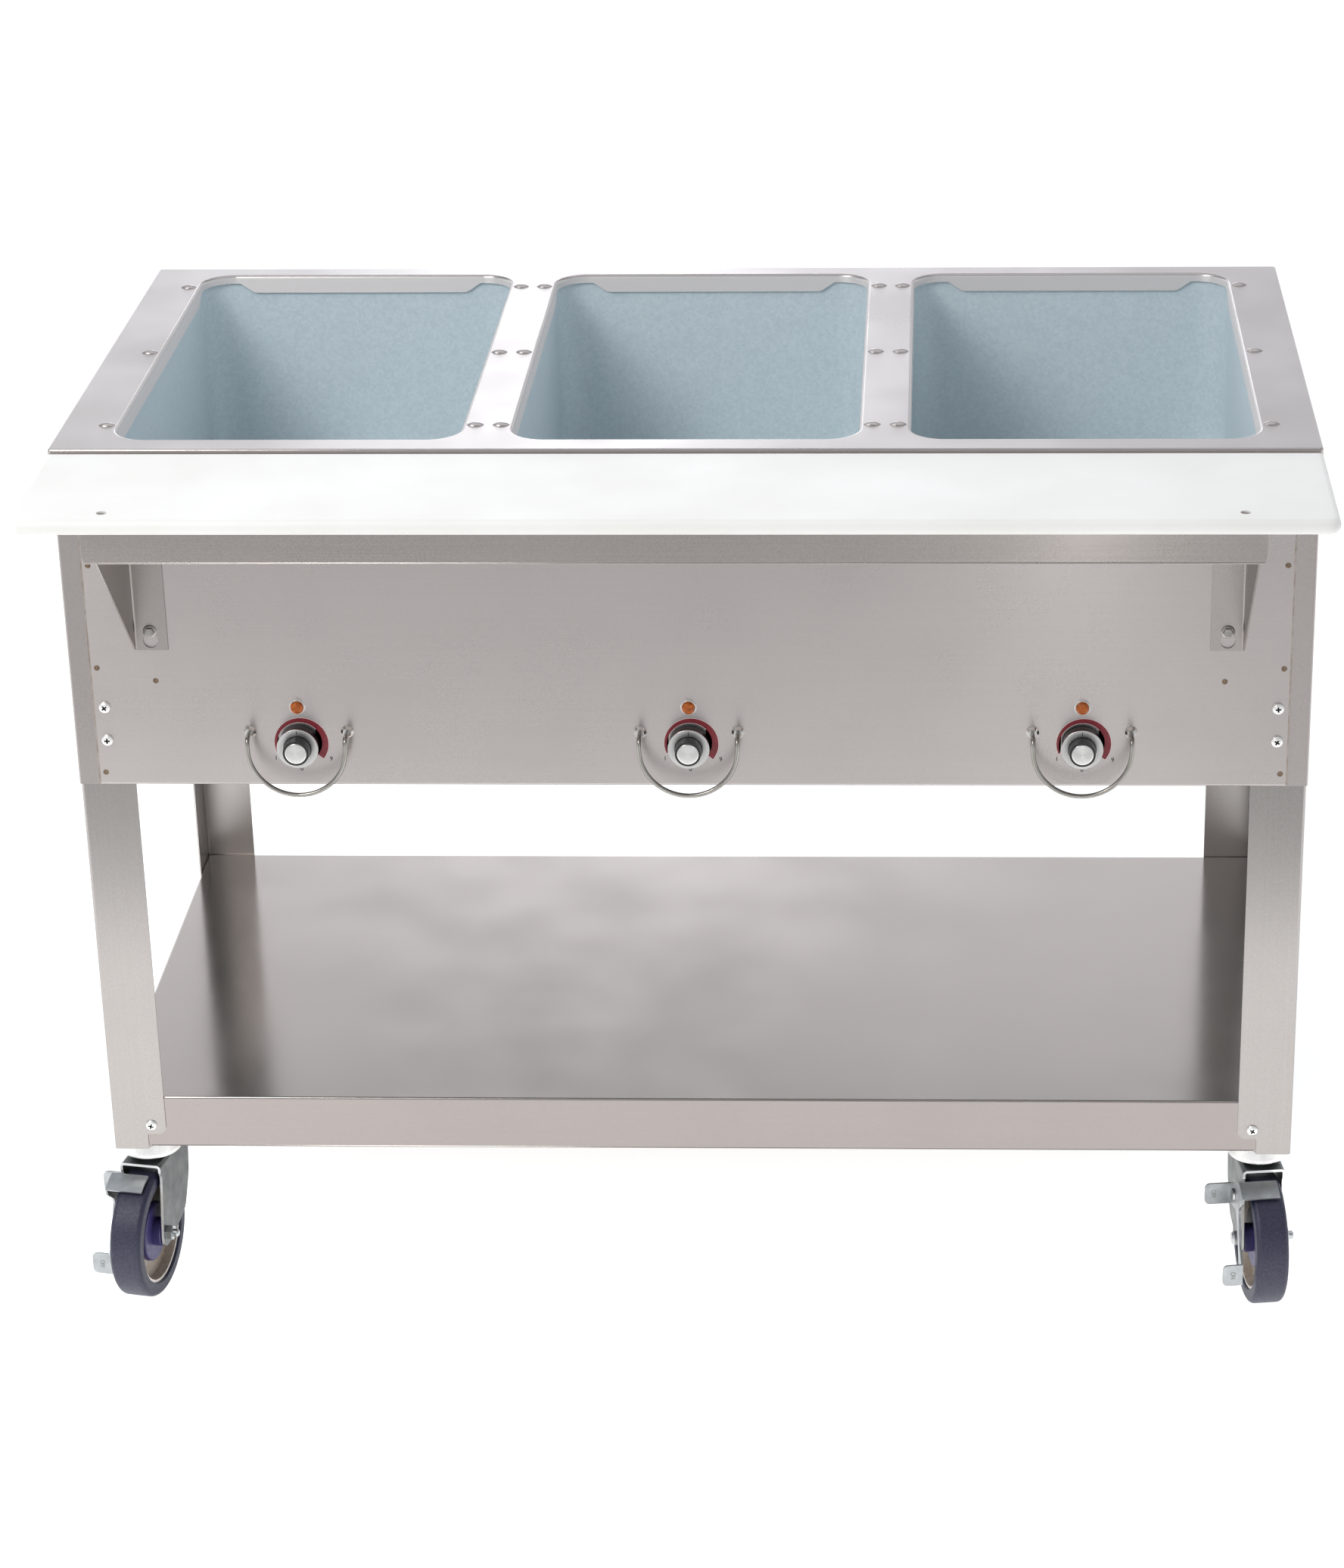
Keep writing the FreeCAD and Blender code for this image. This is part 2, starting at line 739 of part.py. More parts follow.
def board_bracket():
    """Right bracket: wall flange and gusset from one bend, a top flange, two keyholes in the wall."""
    outer, inner = bracket_outer, bracket_outer - bracket_width
    wall = panel_y - bracket_sheet
    low = deck_height - bracket_bottom
    under_skirt = deck_height - skirt_height - bracket_skirt_gap
    top = tray_z - sheet
    plan = [(outer, panel_y, bracket_bend), (outer, -bracket_reach), (outer - bracket_sheet, -bracket_reach)]
    plan += [(outer - bracket_sheet, wall, bracket_bend - bracket_sheet), (inner, wall), (inner, panel_y)]
    side = [(panel_y, low), (panel_y, under_skirt), (-board_gap, under_skirt), (-board_gap, top)]
    side += [(-bracket_reach, top), (-bracket_reach, top - bracket_nose), (wall, low)]
    folded = prism(plan, "XY", low, top).common(prism(side, "YZ", inner, outer))
    flange = box(inner, outer, -bracket_reach, -board_gap, top - bracket_sheet, top)
    cuts = []
    for drop in bolt_drops:
        seat = vec(bolt_x, wall, deck_height - drop)
        half = bolt_radius + slot_clearance
        cuts.append(rod(seat, vec(0, 1, 0), half, bracket_sheet))
        cuts.append(rod(seat - vec(0, 0, keyhole_offset), vec(0, 1, 0), keyhole_radius, bracket_sheet))
        cuts.append(box(bolt_x - half, bolt_x + half, wall, panel_y, seat.z - keyhole_offset, seat.z))
    return folded.fuse(flange).cut(cuts)


def bracket_bolts():
    """Hex bolts in the narrow ends of the keyholes, with nuts behind the front panel."""
    solids = []
    for drop in bolt_drops:
        seat = vec(bolt_x, panel_y - bracket_sheet, deck_height - drop)
        head = hexagon(bolt_flats, bolt_head, seat, vec(0, -1, 0))
        bolt = head.fuse(rod(seat, vec(0, 1, 0), bolt_radius, bracket_sheet + bolt_reach))
        back = vec(bolt_x, panel_y + sheet, deck_height - drop)
        nut = hexagon(bolt_flats, bolt_head, back, vec(0, 1, 0))
        nut = nut.cut(rod(back, vec(0, 1, 0), bolt_radius + fit_clearance, bolt_head))
        solids += [bolt, flip_x(bolt), nut, flip_x(nut)]
    return solids


def control_centre(x, drop):
    return vec(x, panel_y, deck_height - drop)


def switch_body(x):
    """Heat switch on the back of the panel, with a bush through it and a bore for the shaft."""
    z = deck_height - control_drop
    back = panel_y + sheet
    left, low = x - switch_width / 2, z - switch_tall / 2
    case = box(left, left + switch_width, back, back + switch_deep, low, low + switch_tall)
    front = vec(x, panel_y - bush_proud, z)
    bush = rod(front, vec(0, 1, 0), switch_bush, bush_proud + sheet)
    depth = shaft_in_switch + bush_proud + hole_clearance
    return case.fuse(bush).cut(rod(front, vec(0, 1, 0), shaft_radius + fit_clearance, depth))


def switch_shaft(x):
    back = vec(x, panel_y + shaft_in_switch, deck_height - control_drop)
    return rod(back, vec(0, -1, 0), shaft_radius, shaft_in_switch + knob_gap + shaft_in_knob)


def knob(x):
    """Black knob turned with its base, a shoulder for the skirt plate and a tapered grip."""
    centre = control_centre(x, control_drop) - vec(0, knob_gap, 0)
    bore, depth = shaft_radius + fit_clearance, shaft_in_knob + hole_clearance
    end = knob_base + skirt_plate + grip_height
    profile = [(bore, 0.0), (knob_radius - knob_flare, 0.0), (knob_radius, knob_base)]
    profile += [(grip_radius, knob_base)]
    profile += [(grip_radius - grip_taper, end), (0.0, end), (0.0, depth), (bore, depth)]
    return turned(profile, centre, vec(0, -1, 0))


def knob_trim(x):
    """Bright skirt plate round the grip and bright cap on its end."""
    centre = control_centre(x, control_drop) - vec(0, knob_gap, 0)
    hole = grip_radius + fit_clearance
    end = knob_base + skirt_plate
    plate = [(hole, knob_base), (knob_radius, knob_base), (knob_radius, end), (hole, end)]
    top = end + grip_height
    cap = [(0.0, top), (cap_radius, top), (cap_radius - cap_height, top + cap_height)]
    cap += [(0.0, top + cap_height)]
    return [turned(plate, centre, vec(0, -1, 0)), turned(cap, centre, vec(0, -1, 0))]


def pilot_bezel(x):
    """Pilot lamp housing through the panel and its round nut behind it."""
    centre = control_centre(x, pilot_drop)
    bore = lens_radius + lens_gap
    profile = [(0.0, -bezel_deep), (bezel_body, -bezel_deep), (bezel_body, 0.0), (bezel_radius, 0.0)]
    profile += [(bezel_radius - bezel_flange / 2, bezel_flange), (bore, bezel_flange)]
    profile += [(bore, -lens_seat), (0.0, -lens_seat)]
    inner = bezel_body + fit_clearance
    back = -sheet - pilot_nut_thick
    nut = [(inner, back), (pilot_nut, back), (pilot_nut, -sheet), (inner, -sheet)]
    return [turned(profile, centre, vec(0, -1, 0)), turned(nut, centre, vec(0, -1, 0))]


def pilot_lens(x):
    centre = control_centre(x, pilot_drop)
    end = bezel_flange + lens_dome
    profile = [(0.0, -lens_seat), (lens_radius, -lens_seat), (lens_radius, end, lens_round), (0.0, end)]
    return turned(profile, centre, vec(0, -1, 0))


def knob_guard(x):
    """Wire hoop in front of a knob: out of the panel, down, round below the knob and back in."""
    z = deck_height - guard_drop
    low = z - guard_straight - guard_half
    back, front = panel_y + sheet + guard_tail, panel_y - guard_reach
    side = x - guard_half
    left = [vec(side, back, z), vec(side, front, z), vec(side, front, low)]
    right = [vec(2 * x - p.x, p.y, p.z) for p in reversed(left)]
    return bent_rod(left + right, guard_wire, [guard_bend, guard_half, guard_half, guard_bend])


def guard_boss(x):
    inner = guard_wire + fit_clearance
    profile = [(inner, 0.0), (boss_radius, 0.0), (boss_radius, boss_edge), (boss_crown, boss_height)]
    profile += [(inner, boss_height)]
    return turned(profile, control_centre(x, guard_drop), vec(0, -1, 0))


def terminal_block():
    """Barrier strip on the bottom panel near the back."""
    level = body_z + 2 * sheet
    left = block_x - block_length / 2
    front, back = block_back - block_deep, block_back
    strip = box(left, left + block_length, front, back, level, level + block_base)
    step = (block_length - barrier) / block_poles
    walls = [box(left + i * step, left + i * step + barrier, front, back, level, level + block_high)
             for i in range(block_poles + 1)]
    return strip.fuse(walls)


def cord_gland():
    """Supply gland through the back panel, bored for a cord, and its locknut inside."""
    centre = vec(gland_x, body_depth - sheet, deck_height - gland_drop)
    out = vec(0, 1, 0)
    head = hexagon(gland_flats, gland_head, centre, out)
    dome = gland_flats / 2 - gland_cap_step
    shape = [(0.0, gland_head), (dome, gland_head), (dome, gland_reach, gland_cap_round), (0.0, gland_reach)]
    cap = turned(shape, centre, out)
    thread = rod(centre, -out, gland_thread, gland_inside)
    bore = rod(centre - out * gland_inside, out, gland_bore, gland_inside + gland_reach)
    face = centre - out * sheet
    locknut = hexagon(gland_flats, locknut_thick, face, -out)
    locknut = locknut.cut(rod(face, -out, gland_thread + fit_clearance, locknut_thick))
    return [head.fuse([cap, thread]).cut(bore), locknut]


def wiring_loom():
    """Wires on the bottom panel: a trunk from the terminal block to the switches and heaters."""
    level = body_z + 2 * sheet + loom_radius + hole_clearance
    start = vec(block_x, block_back - block_deep, level)
    corner = vec(block_x, loom_front, level)
    end = vec(-well_pitch - lead_spacing, loom_front, level)
    trunk = bent_rod([start, corner, end], loom_radius, [loom_bend])
    taps = []
    for x in well_xs:
        rise = deck_height - control_drop - switch_tall / 2 - level
        taps.append(rod(vec(x, loom_front, level), vec(0, 0, 1), wire_radius, rise))
        for u, v in lead_places(x):
            ends = vec(u, v, well_floor - lead_below), vec(u, loom_front, level)
            taps.append(bent_rod([ends[0], vec(u, v, level), ends[1]], wire_radius, [wire_bend]))
    return trunk.fuse(taps)


def caster_stem(x, y):
    """Threaded stem, swivel race and kingpin in one turned piece, fixed under a leg's foot plate."""
    head_top = fork_top - fork_sheet - running_gap
    head_low = head_top - kingpin_head_thick
    profile = [(0.0, head_low), (kingpin_head, head_low), (kingpin_head, head_top)]
    profile += [(kingpin_radius, head_top)]
    profile += [(kingpin_radius, race_bottom), (race_radius, race_bottom, race_edge)]
    profile += [(race_radius, race_bottom + race_band)]
    profile += [(race_radius - race_taper, caster_height), (stem_radius, caster_height)]
    profile += [(stem_radius, caster_height + stem_rise), (0.0, caster_height + stem_rise)]
    return turned(profile, vec(x, y, 0), vec(0, 0, 1))


def stem_nut(x, y):
    seat = vec(x, y, caster_height + foot_plate)
    nut = hexagon(stem_nut_flats, stem_nut_thick, seat, vec(0, 0, 1))
    return nut.cut(rod(seat, vec(0, 0, 1), stem_radius + fit_clearance, stem_nut_thick))


def caster_fork(braked):
    """Pressed fork about its swivel axis: an inverted channel trimmed to the side plates' outline."""
    low = axle_z - fork_tip
    inner = fork_half - fork_sheet
    channel = [(-fork_half, low), (-fork_half, fork_top, fork_corner), (fork_half, fork_top, fork_corner)]
    channel += [(fork_half, low), (inner, low), (inner, fork_top - fork_sheet, fork_corner - fork_sheet)]
    channel += [(-inner, fork_top - fork_sheet, fork_corner - fork_sheet), (-inner, low)]
    shoulder = fork_top - fork_shoulder
    tip = -trail - fork_tip + fork_step
    side = [(-fork_front, fork_top), (-fork_front, shoulder)]
    side += [(-fork_front + fork_step, shoulder - fork_bevel, fork_bevel), (tip, axle_z, fork_tip_round)]
    side += [(tip, low, fork_tip_round), (-trail + fork_tip_half, low, fork_tip_round)]
    side += [(fork_rear - fork_waist, axle_z, fork_waist_round)]
    side += [(fork_rear - fork_step, axle_z + fork_bulge_rise, fork_bulge_round)]
    side += [(fork_rear, shoulder - fork_bevel, fork_tip_round), (fork_rear - fork_back_slope, fork_top)]
    fork = prism(channel, "XZ", -trail - fork_tip, fork_rear).common(prism(side, "YZ", -fork_half, fork_half))
    ring_top = fork_top + race_ring_rise
    ring = [(race_ring_inner, fork_top), (race_ring_radius, fork_top)]
    ring += [(race_ring_radius - race_ring_bevel, ring_top), (race_ring_inner, ring_top)]
    fork = fork.fuse(turned(ring, vec(0, 0, 0), vec(0, 0, 1)))
    under = vec(0, 0, fork_top - fork_sheet)
    kingpin = rod(under, vec(0, 0, 1), kingpin_radius + fit_clearance, fork_sheet)
    end = vec(-fork_half, -trail, axle_z)
    axle = rod(end, vec(1, 0, 0), axle_radius + fit_clearance, 2 * fork_half)
    fork = fork.cut([kingpin, axle])
    if braked:
        reach = lever_offset + lever_sheet + running_gap
        pivot = vec(-fork_half, lever_pivot_y, lever_pivot_z)
        pin = rod(pivot, vec(-1, 0, 0), lever_pin, reach + lever_sheet)
        rivet = rod(pivot - vec(reach, 0, 0), vec(-1, 0, 0), lever_rivet, lever_sheet)
        fork = fork.fuse([pin, rivet])
    return fork


def caster_axle():
    """Axle bolt through the fork, with its nut on the other side."""
    head_end = -fork_half - axle_head_thick
    nut_end = fork_half + axle_nut_thick
    centre = vec(0, -trail, axle_z)
    tail = nut_end + axle_end
    profile = [(0.0, head_end), (axle_head - axle_bevel, head_end), (axle_head, head_end + axle_bevel)]
    profile += [(axle_head, -fork_half), (axle_radius, -fork_half), (axle_radius, tail - axle_end_bevel)]
    profile += [(axle_radius - axle_end_bevel, tail), (0.0, tail)]
    nut = hexagon(axle_nut_flats, axle_nut_thick, centre + vec(fork_half, 0, 0), vec(1, 0, 0))
    nut = nut.cut(rod(centre, vec(1, 0, 0), axle_radius + fit_clearance, nut_end))
    return [turned(profile, centre, vec(1, 0, 0)), nut]


def caster_wheel():
    """Wheel with a dished web inside its rim, a raised bearing cover and a long hub."""
    bore = axle_radius + fit_clearance
    hub, web, rim = hub_width / 2, web_thick / 2, rim_width / 2
    dish = rim_radius - rim_lip - dish_slope
    half = [(bore, hub), (hub_radius, hub), (hub_radius, cover_face), (cover_radius, cover_face, cover_round)]
    half += [(cover_radius, web), (dish, web, cover_round), (rim_radius - rim_lip, rim), (rim_radius, rim)]
    profile = half + [(p[0], -p[1]) + tuple(p[2:]) for p in reversed(half)]
    return turned(profile, vec(0, -trail, axle_z), vec(1, 0, 0))


def caster_tyre():
    inner, side = rim_radius + fit_clearance, tyre_width / 2
    half = [(inner, side - tyre_bevel), (inner + tyre_bevel, side), (wheel_radius, side, tread_corner)]
    profile = half + [(p[0], -p[1]) + tuple(p[2:]) for p in reversed(half)]
    return turned(profile, vec(0, -trail, axle_z), vec(1, 0, 0))


def brake_lever():
    """Rocker outside the fork: shoe over the tread, a low tab to press on and a high tab to release."""
    near = -fork_half - lever_offset
    far = near - lever_sheet
    inner = wheel_radius + shoe_clearance
    outer = inner + lever_sheet

    def round_tread(radius, degrees):
        turn = math.radians(degrees)
        return -trail - radius * math.sin(turn), axle_z + radius * math.cos(turn)

    def arc(radius, first, last):
        spots = [vec(far, *round_tread(radius, a)) for a in (first, (first + last) / 2, last)]
        return Part.Arc(*spots).toShape(), spots[0], spots[2]

    over, over_back, over_front = arc(outer, shoe_from, shoe_to)
    under, under_front, under_back = arc(inner, shoe_to, shoe_from)
    nose = Part.LineSegment(over_front, under_front).toShape()
    heel = Part.LineSegment(under_back, over_back).toShape()
    shoe = Part.Face(Part.Wire([over, nose, under, heel])).extrude(vec(shoe_past_centre - far, 0, 0))
    py, pz = lever_pivot_y, lever_pivot_z
    front_y, front_z = round_tread(outer, shoe_to)
    back_y, back_z = round_tread(outer, shoe_from)
    half = lever_sheet / 2
    arm_y, arm_z = on_tab_y + lever_arm, on_tab_high + lever_arm_rise
    web = [(back_y, back_z), (front_y, front_z)]
    web += [(front_y + lever_nose, front_z - lever_nose_drop, lever_nose_round)]
    web += [(py - lever_throat, pz - lever_throat_drop, lever_round), (arm_y, arm_z, lever_arm_rise)]
    web += [(on_tab_y - half, on_tab_high), (on_tab_y - half, on_tab_low)]
    web += [(on_tab_y + lever_toe, on_tab_low, lever_toe_round)]
    web += [(arm_y + lever_arm_width, arm_z - lever_toe_round, lever_arm_rise)]
    web += [(py - lever_waist, pz - lever_waist, lever_round), (off_tab_y + half, off_tab_low)]
    web += [(off_tab_y + half, off_tab_high), (py + lever_head, pz + lever_head, lever_head_round)]
    plate = prism(web, "YZ", far, near)
    press = [(near, on_tab_low), (-on_tab_reach, on_tab_low, press_tab_round)]
    press += [(-on_tab_reach, on_tab_high, press_tab_round), (near, on_tab_high)]
    on_tab = prism(press, "XZ", on_tab_y - half, on_tab_y + half)
    lift = [(near, off_tab_low), (-off_tab_reach, off_tab_low, press_tab_round)]
    lift += [(-off_tab_reach, off_tab_high, press_tab_round), (near, off_tab_high)]
    off_tab = prism(lift, "XZ", off_tab_y - half, off_tab_y + half)
    pivot = vec(near, py, pz)
    boss = rod(pivot, vec(1, 0, 0), lever_boss, lever_offset - running_gap)
    bore = rod(vec(far, py, pz), vec(1, 0, 0), lever_pin + fit_clearance, lever_sheet + lever_offset)
    return plate.fuse([shoe, on_tab, off_tab, boss]).cut(bore)


def set_caster(shape, x, y, yaw):
    """Turn a piece of a caster about its swivel axis and move it under its leg."""
    placed = shape.copy()
    placed.rotate(vec(0, 0, 0), vec(0, 0, 1), yaw)
    placed.translate(vec(x, y, 0))
    return placed


casters = {
    "front_left": (-caster_x, caster_inset_y, front_left_yaw),
    "front_right": (caster_x, caster_inset_y, front_right_yaw),
    "rear_left": (-caster_x, body_depth - caster_inset_y, rear_left_yaw),
    "rear_right": (caster_x, body_depth - caster_inset_y, rear_right_yaw),
}
stations = dict(zip(("left", "middle", "right"), well_xs))
right_end = end_panel()
right_bracket = board_bracket()
legs = dict(zip(("front_right", "front_left", "rear_right", "rear_left"), four_corners(leg())))

nodes = {
    "top_deck": [top_deck()],
    "front_panel": [front_panel()],
    "back_panel": [back_panel()],
    "left_end_panel": [flip_x(right_end)],
    "right_end_panel": [right_end],
    "bottom_panel": [bottom_panel()],
    "heating_elements": [heating_element(x) for x in well_xs],
    "well_insulation": [insulation(x) for x in well_xs],
    "undershelf": [undershelf()],
    "panel_screws": panel_screws(),
    "shelf_screws": shelf_screws(),
    "carving_board": [carving_board()],
    "board_shelf": [board_shelf()],
    "board_brackets": [right_bracket, flip_x(right_bracket)],
    "bracket_bolts": bracket_bolts(),
    "switch_bodies": [switch_body(x) for x in well_xs],
    "pilot_bezels": [piece for x in well_xs for piece in pilot_bezel(x)],
    "pilot_lenses": [pilot_lens(x) for x in well_xs],
    "knob_guards": [knob_guard(x) for x in well_xs],
    "guard_bosses": [guard_boss(x + side * guard_half) for x in well_xs for side in (-1, 1)],
    "terminal_block": [terminal_block()],
    "cord_gland": cord_gland(),
    "wiring_loom": [wiring_loom()],
    "caster_stems": [caster_stem(x, y) for x, y, yaw in casters.values()],
    "stem_nuts": [stem_nut(x, y) for x, y, yaw in casters.values()],
}
for place, x in stations.items():
    nodes["well_" + place] = [well(x)]
    nodes["switch_shaft_" + place] = [switch_shaft(x)]
    nodes["knob_" + place] = [knob(x)]
    nodes["knob_trim_" + place] = knob_trim(x)
for place, shape in legs.items():
    nodes[place + "_leg"] = [shape]
plain_fork, braked_fork = caster_fork(False), caster_fork(True)
axle, wheel, tyre, lever = caster_axle(), caster_wheel(), caster_tyre(), brake_lever()
for place, (x, y, yaw) in casters.items():
    braked = place.startswith("front")
    fork = braked_fork if braked else plain_fork
    pieces = {"_fork": [fork], "_axle": axle, "_wheel": [wheel], "_tyre": [tyre]}
    if braked:
        pieces["_brake_lever"] = [lever]
    for suffix, solids in pieces.items():
        nodes[place + suffix] = [set_caster(solid, x, y, yaw) for solid in solids]

os.makedirs("parts", exist_ok=True)
for name, solids in nodes.items():
    shape = Part.makeCompound(solids) if len(solids) > 1 else solids[0]
    shape.translate(vec(-origin_x, -origin_y, 0))
    shape.exportStep("parts/" + name + ".step")
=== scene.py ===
import bpy
import bmesh
import json
import math
from mathutils import Matrix, Vector


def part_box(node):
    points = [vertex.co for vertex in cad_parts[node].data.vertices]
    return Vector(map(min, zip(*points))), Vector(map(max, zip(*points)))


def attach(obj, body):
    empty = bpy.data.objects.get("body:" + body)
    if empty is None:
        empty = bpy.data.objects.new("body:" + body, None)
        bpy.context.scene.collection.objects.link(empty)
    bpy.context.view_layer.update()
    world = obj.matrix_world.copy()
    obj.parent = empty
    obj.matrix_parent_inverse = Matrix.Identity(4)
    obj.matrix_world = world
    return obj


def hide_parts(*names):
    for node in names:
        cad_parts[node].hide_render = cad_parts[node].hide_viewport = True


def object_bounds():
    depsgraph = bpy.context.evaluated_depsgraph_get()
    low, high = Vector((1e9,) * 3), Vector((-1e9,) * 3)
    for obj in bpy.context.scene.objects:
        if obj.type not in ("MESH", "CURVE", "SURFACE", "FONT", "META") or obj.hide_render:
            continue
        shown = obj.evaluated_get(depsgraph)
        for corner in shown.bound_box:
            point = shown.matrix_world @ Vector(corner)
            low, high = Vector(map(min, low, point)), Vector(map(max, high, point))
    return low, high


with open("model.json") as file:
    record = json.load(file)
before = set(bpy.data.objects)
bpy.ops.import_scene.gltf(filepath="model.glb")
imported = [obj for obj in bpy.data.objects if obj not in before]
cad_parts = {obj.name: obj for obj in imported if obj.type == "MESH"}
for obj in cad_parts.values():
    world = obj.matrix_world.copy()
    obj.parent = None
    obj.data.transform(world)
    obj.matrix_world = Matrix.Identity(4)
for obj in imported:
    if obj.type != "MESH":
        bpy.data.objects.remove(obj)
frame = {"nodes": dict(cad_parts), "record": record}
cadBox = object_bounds()
scene = bpy.context.scene
joints = {joint["name"]: joint for joint in frame["record"]["behaviour"]["joints"]}

# places that the rest of the script works from
deckLow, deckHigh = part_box("top_deck")
middleX = (deckLow.x + deckHigh.x) / 2
frontY = deckLow.y
dimpleRise = 0.0024  # the pressed dimples stand this far above the deck
deckTop = deckHigh.z - dimpleRise
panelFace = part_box("front_panel")[0].y
print("frame loaded:", len(frame["nodes"]), "nodes")


def linear(hexColour):
    channels = [int(hexColour[i:i + 2], 16) / 255 for i in (1, 3, 5)]
    return tuple(c / 12.92 if c <= 0.04045 else ((c + 0.055) / 1.055) ** 2.4 for c in channels) + (1.0,)


def addNode(tree, kind, inputs=None, **settings):
    node = tree.nodes.new("ShaderNode" + kind)
    for name, value in settings.items():
        setattr(node, name, value)
    for name, value in (inputs or {}).items():
        if isinstance(value, bpy.types.NodeSocket):
            tree.links.new(value, node.inputs[name])
        else:
            node.inputs[name].default_value = value
    return node


def setRamp(node, stops):
    ramp = node.color_ramp
    while len(ramp.elements) < len(stops):
        ramp.elements.new(1.0)
    for element, (place, colour) in zip(ramp.elements, stops):
        element.position = place
        element.color = colour
    return node.outputs["Color"]


def newMaterial(name, sockets):
    material = bpy.data.materials.new(name)
    material.use_nodes = True
    tree = material.node_tree
    shader = tree.nodes["Principled BSDF"]
    for socket, value in sockets.items():
        shader.inputs[socket].default_value = value
    material.diffuse_color = sockets.get("Base Color", (0.5, 0.5, 0.5, 1.0))
    return material, tree, shader


# camera: the place, turn and lens that put deck, shelf and casters where the photograph has them
cameraFit = {
    "fromDeckFront": (0.2266, -3.3925, 1.1474),  # metres from the middle of the deck's front edge
    "pitch": 24.294,
    "yaw": 2.181,
    "roll": -0.766,
    "lens": 92.80,
    "shiftX": -0.08,
    "shiftY": 0.0399,
}
pitch = math.radians(cameraFit["pitch"])
yaw = math.radians(cameraFit["yaw"])
roll = math.radians(cameraFit["roll"])
level = Vector((math.cos(yaw), math.sin(yaw), 0))
ahead = Vector((-math.sin(yaw), math.cos(yaw), 0))
forward = ahead * math.cos(pitch) - Vector((0, 0, math.sin(pitch)))
upright = ahead * math.sin(pitch) + Vector((0, 0, math.cos(pitch)))
rightWay = level * math.cos(roll) + upright * math.sin(roll)
upWay = upright * math.cos(roll) - level * math.sin(roll)
cameraPlace = Vector((middleX, frontY, deckTop)) + Vector(cameraFit["fromDeckFront"])
cameraData = bpy.data.cameras.new("photoCamera")
cameraData.lens = cameraFit["lens"]
cameraData.shift_x = cameraFit["shiftX"]
cameraData.shift_y = cameraFit["shiftY"]
cameraData.clip_end = 100
camera = bpy.data.objects.new("photoCamera", cameraData)
turn = Matrix((rightWay, upWay, -forward)).transposed().to_4x4()
camera.matrix_world = Matrix.Translation(cameraPlace) @ turn
scene.collection.objects.link(camera)
scene.camera = camera
scene.view_settings.view_transform = "Standard"
print("camera placed")

# studio: white paper floor, a surround that is bright behind and dim on the camera's side, soft boxes
studio = {
    "floorReach": 30.0,
    "floorWhite": "#f4f4f3",
    # painted shade: the paper nearer the camera is given a darker colour
    "floorShade": "#d6d6d5",  # the paper nearer the camera, which the front panel mirrors
    "shadeTo": -1.38,  # the paper is shaded in front of this line
    "whiteFrom": -0.85,  # and white behind this one
    # painted light: the paper glows, which the front legs mirror and which fills the table's shadow:
    # line in Y, strength
    "floorGlow": ((-1.30, 0.04), (-0.93, 1.10), (-0.30, 1.05), (0.45, 0.50)),
    # the band low down behind, which the deck mirrors from its rear edge to its front:
    # height of the direction, strength
    "glowDeck": ((0.0, 1.16), (0.29, 1.16), (0.325, 1.40), (0.352, 1.40)),
    # higher up, which the undershelf mirrors from its rear edge to its front
    "glowShelf": ((0.39, 0.75), (0.43, 1.22), (0.465, 1.32), (0.50, 0.52), (0.62, 0.57)),
    "glowTop": 1.0,
    "glowScale": 2.0,  # the ramp holds strengths over this
    # painted light: the paper further out glows a little where the key falls off: middle of the key's pool,
    # radii, strength
    "farGlow": ((-0.2, -1.8, 0.0), 1.0, 3.0, 0.42),
    "surround": "#f1f5fb",  # a little cool beside the warm sheet
    "frontShare": 0.61,  # how bright the camera's side is beside the rest
    "frontFade": (-0.5, 0.2),  # from the camera's side to the rest: direction in Y
    # a brighter pane low down behind, left of the middle, which the deck mirrors: direction in X, gain
    "pane": ((-0.26, 1.55), (-0.17, 1.75), (-0.135, 2.60), (-0.115, 3.75), (-0.065, 3.75), (-0.045, 2.90),
             (-0.02, 2.20), (0.015, 1.95), (0.045, 1.35), (0.10, 1.12)),
    "paneScale": 4.0,  # the ramp holds gains over this
    "paneDip": 0.16,  # and the surround above it is this share dimmer for each step of gain
    "paneTop": (0.36, 0.38),  # where the pane ends and the dip starts: height of the direction
    "dipTop": (0.55, 0.75),  # and where the dip fades out
    "paneFade": (0.3, 0.6),  # both are only behind the table: direction in Y
    "softBoxes": (
        # name, place, point aimed at, width, height, watts
        ("overhead", (0.1, 0.1, 2.6), (0.1, 0.1, 0.5), 2.2, 1.4, 3.5),
        ("leftKey", (-1.6, -2.0, 2.9), (0.0, 0.0, 0.7), 1.4, 1.4, 58),
        ("frontStrip", (0.42, -2.2, 0.45), (0.36, -0.2, 0.6), 0.06, 0.4, 0.6),
    ),
}
reach = studio["floorReach"]
floorMesh = bpy.data.meshes.new("studioFloor")
floorMesh.from_pydata([(-reach, -reach, 0), (reach, -reach, 0), (reach, reach, 0), (-reach, reach, 0)],
                      [], [(0, 1, 2, 3)])
floor = bpy.data.objects.new("studioFloor", floorMesh)
scene.collection.objects.link(floor)
floorPaper, tree, shader = newMaterial("studioPaper", {
    "Base Color": linear(studio["floorWhite"]), "Roughness": 0.9, "Specular IOR Level": 0.1,
    "Emission Color": linear(studio["floorWhite"])})
onPaper = addNode(tree, "TexCoord").outputs["Object"]
floorPlace = addNode(tree, "SeparateXYZ", {0: onPaper})
nearTable = addNode(tree, "MapRange", {"Value": floorPlace.outputs["Y"], 1: studio["shadeTo"],
                                       2: studio["whiteFrom"]},
                    interpolation_type="SMOOTHERSTEP").outputs[0]
glowFrom, glowTo = studio["floorGlow"][0][0], studio["floorGlow"][-1][0]
glowAlong = addNode(tree, "MapRange", {"Value": floorPlace.outputs["Y"], 1: glowFrom, 2: glowTo}).outputs[0]
